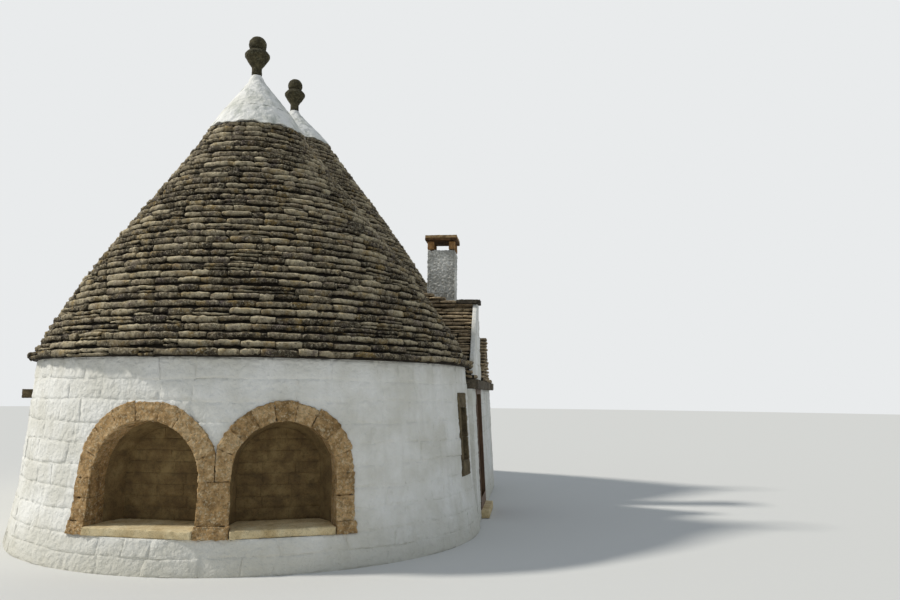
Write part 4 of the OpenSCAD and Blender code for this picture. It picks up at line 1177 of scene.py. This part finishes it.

# Tufa slab: painted dark brown below and round its edge as painted shade, and mottled tan on top as a painted
# highlight.
cap_tufa = stone_finish("chimney_cap_tufa_lit_and_shaded", ("#3F2D1C", "#5C432B", "#7A5B3B"), 120,
                        [("#5E5341", 0.5, 50)], 18, 10)
slab_tree = cap_tufa.node_tree
slab_shader = slab_tree.nodes["Principled BSDF"]
shaded_brown = slab_shader.inputs["Base Color"].links[0].from_socket
slab_place = add(slab_tree, "ShaderNodeTexCoord").outputs["Object"]
slab_height = add(slab_tree, "ShaderNodeSeparateXYZ", {"Vector": slab_place}).outputs["Z"]
# Painted highlight on the top of the slab, over painted shade below.
lit_top = add(slab_tree, "ShaderNodeMapRange", {
    "Value": slab_height, "From Min": LIT_TOP_FROM, "From Max": LIT_TOP_FULL})
mottle = add(slab_tree, "ShaderNodeTexNoise", {
    "Vector": slab_place, "Scale": 1000 / 70, "Detail": 7.0, "Roughness": 0.65})
lit_tan = add(slab_tree, "ShaderNodeValToRGB", {"Fac": mottle.outputs["Fac"]}, [
    (0.36, "#7C6648"), (0.5, "#AE9067"), (0.66, "#CBB084")])
lit_over_shaded = add(slab_tree, "ShaderNodeMix", {
    0: lit_top.outputs["Result"], 6: shaded_brown, 7: lit_tan.outputs["Color"]}, data_type="RGBA")
wire(slab_tree, slab_shader, {"Base Color": lit_over_shaded.outputs[2]})
weathered("chimney_cap", "chimney_cap_slab", 0.014, 0.014, 0.06, cap_tufa)

# Waterspout
# A short channel carved from one piece of tufa and built into the wall below the eaves.
# It throws the roof's water clear of the limewash.
# It is cut from the same drab tufa, painted as shade.
weathered("waterspout", "waterspout_channel", 0.008, 0.008, 0.03, shaded_tufa)

# Blanks
# The blocks that were copied are put away, because they aren't part of the house.
for blank in [*wall_blocks, *arch_blocks, *lining_blocks, flag_block, *front_blocks, *roof_blocks,
              *cornice_blocks]:
    bpy.data.objects.remove(blank)

# Studio
# A pale floor, a soft warm key light from the left, and an even sky.
FLOOR_RADIUS = 90
select_only()
bpy.ops.mesh.primitive_circle_add(vertices=96, radius=FLOOR_RADIUS, fill_type="NGON", location=(0, 0, 0))
ground = bpy.context.object
ground.name = "studio_floor"

# Matt floor paint: a plain pale grey with no shine at all.
floor_paint, floor_tree, floor_shader = new_finish("studio_floor_paint")
wire(floor_tree, floor_shader, {"Base Color": paint("#D9D9D6"), "Roughness": 1.0, "Specular IOR Level": 0.0})
ground.data.materials.append(floor_paint)

KEY_BEARING, KEY_HEIGHT, KEY_POWER, KEY_SPREAD = math.radians(-82), math.radians(42), 2.7, math.radians(5)
key = bpy.data.lights.new("key", "SUN")
key.energy, key.angle, key.color = KEY_POWER, KEY_SPREAD, (1.0, 0.96, 0.89)
key_lamp = bpy.data.objects.new("key", key)
towards_key = Vector((math.cos(KEY_HEIGHT) * math.sin(KEY_BEARING),
                      -math.cos(KEY_HEIGHT) * math.cos(KEY_BEARING), math.sin(KEY_HEIGHT)))
key_lamp.rotation_euler = towards_key.to_track_quat("Z", "Y").to_euler()
bpy.context.collection.objects.link(key_lamp)

# The sky lights the house evenly, and looks brighter than that to the camera and in the glass.
FILL_POWER = 0.50
sky = bpy.data.worlds.new("studio_sky")
bpy.context.scene.world = sky
sky.use_nodes = True
sky_tree = sky.node_tree
sky_tree.nodes.clear()
light_fill = add(sky_tree, "ShaderNodeBackground", {"Color": paint("#E2EBF5"), "Strength": FILL_POWER})
backdrop = add(sky_tree, "ShaderNodeBackground", {"Color": paint("#E9EBEC"), "Strength": 1.0})
rays = add(sky_tree, "ShaderNodeLightPath").outputs
seen = add(sky_tree, "ShaderNodeMath", {
    0: rays["Is Camera Ray"], 1: rays["Is Glossy Ray"]}, operation="MAXIMUM")
seen_through = add(sky_tree, "ShaderNodeMath", {
    0: seen.outputs[0], 1: rays["Is Transmission Ray"]}, operation="MAXIMUM")
mixed = add(sky_tree, "ShaderNodeMixShader", {
    0: seen_through.outputs[0], 1: light_fill.outputs[0], 2: backdrop.outputs[0]})
add(sky_tree, "ShaderNodeOutputWorld", {"Surface": mixed.outputs[0]})
bpy.context.scene.view_settings.view_transform = "Standard"

# Camera
# It stands right of the niches at eye height and looks up a little, at the photograph's viewing angle.
CAMERA_SPOT, SENSOR_MM, LENS_MM = (3.858, -10.834, 1.89), 36.0, 30.4
CAMERA_PAN, CAMERA_TILT, CAMERA_ROLL = (
    Matrix.Rotation(math.radians(angle), 4, axis) for angle, axis in ((6, "Z"), (97, "X"), (0.5, "Z")))
camera = bpy.data.objects.new("camera", bpy.data.cameras.new("camera"))
camera.data.sensor_width, camera.data.lens = SENSOR_MM, LENS_MM
camera.matrix_world = Matrix.Translation(CAMERA_SPOT) @ CAMERA_PAN @ CAMERA_TILT @ CAMERA_ROLL
bpy.context.collection.objects.link(camera)
bpy.context.scene.camera = camera
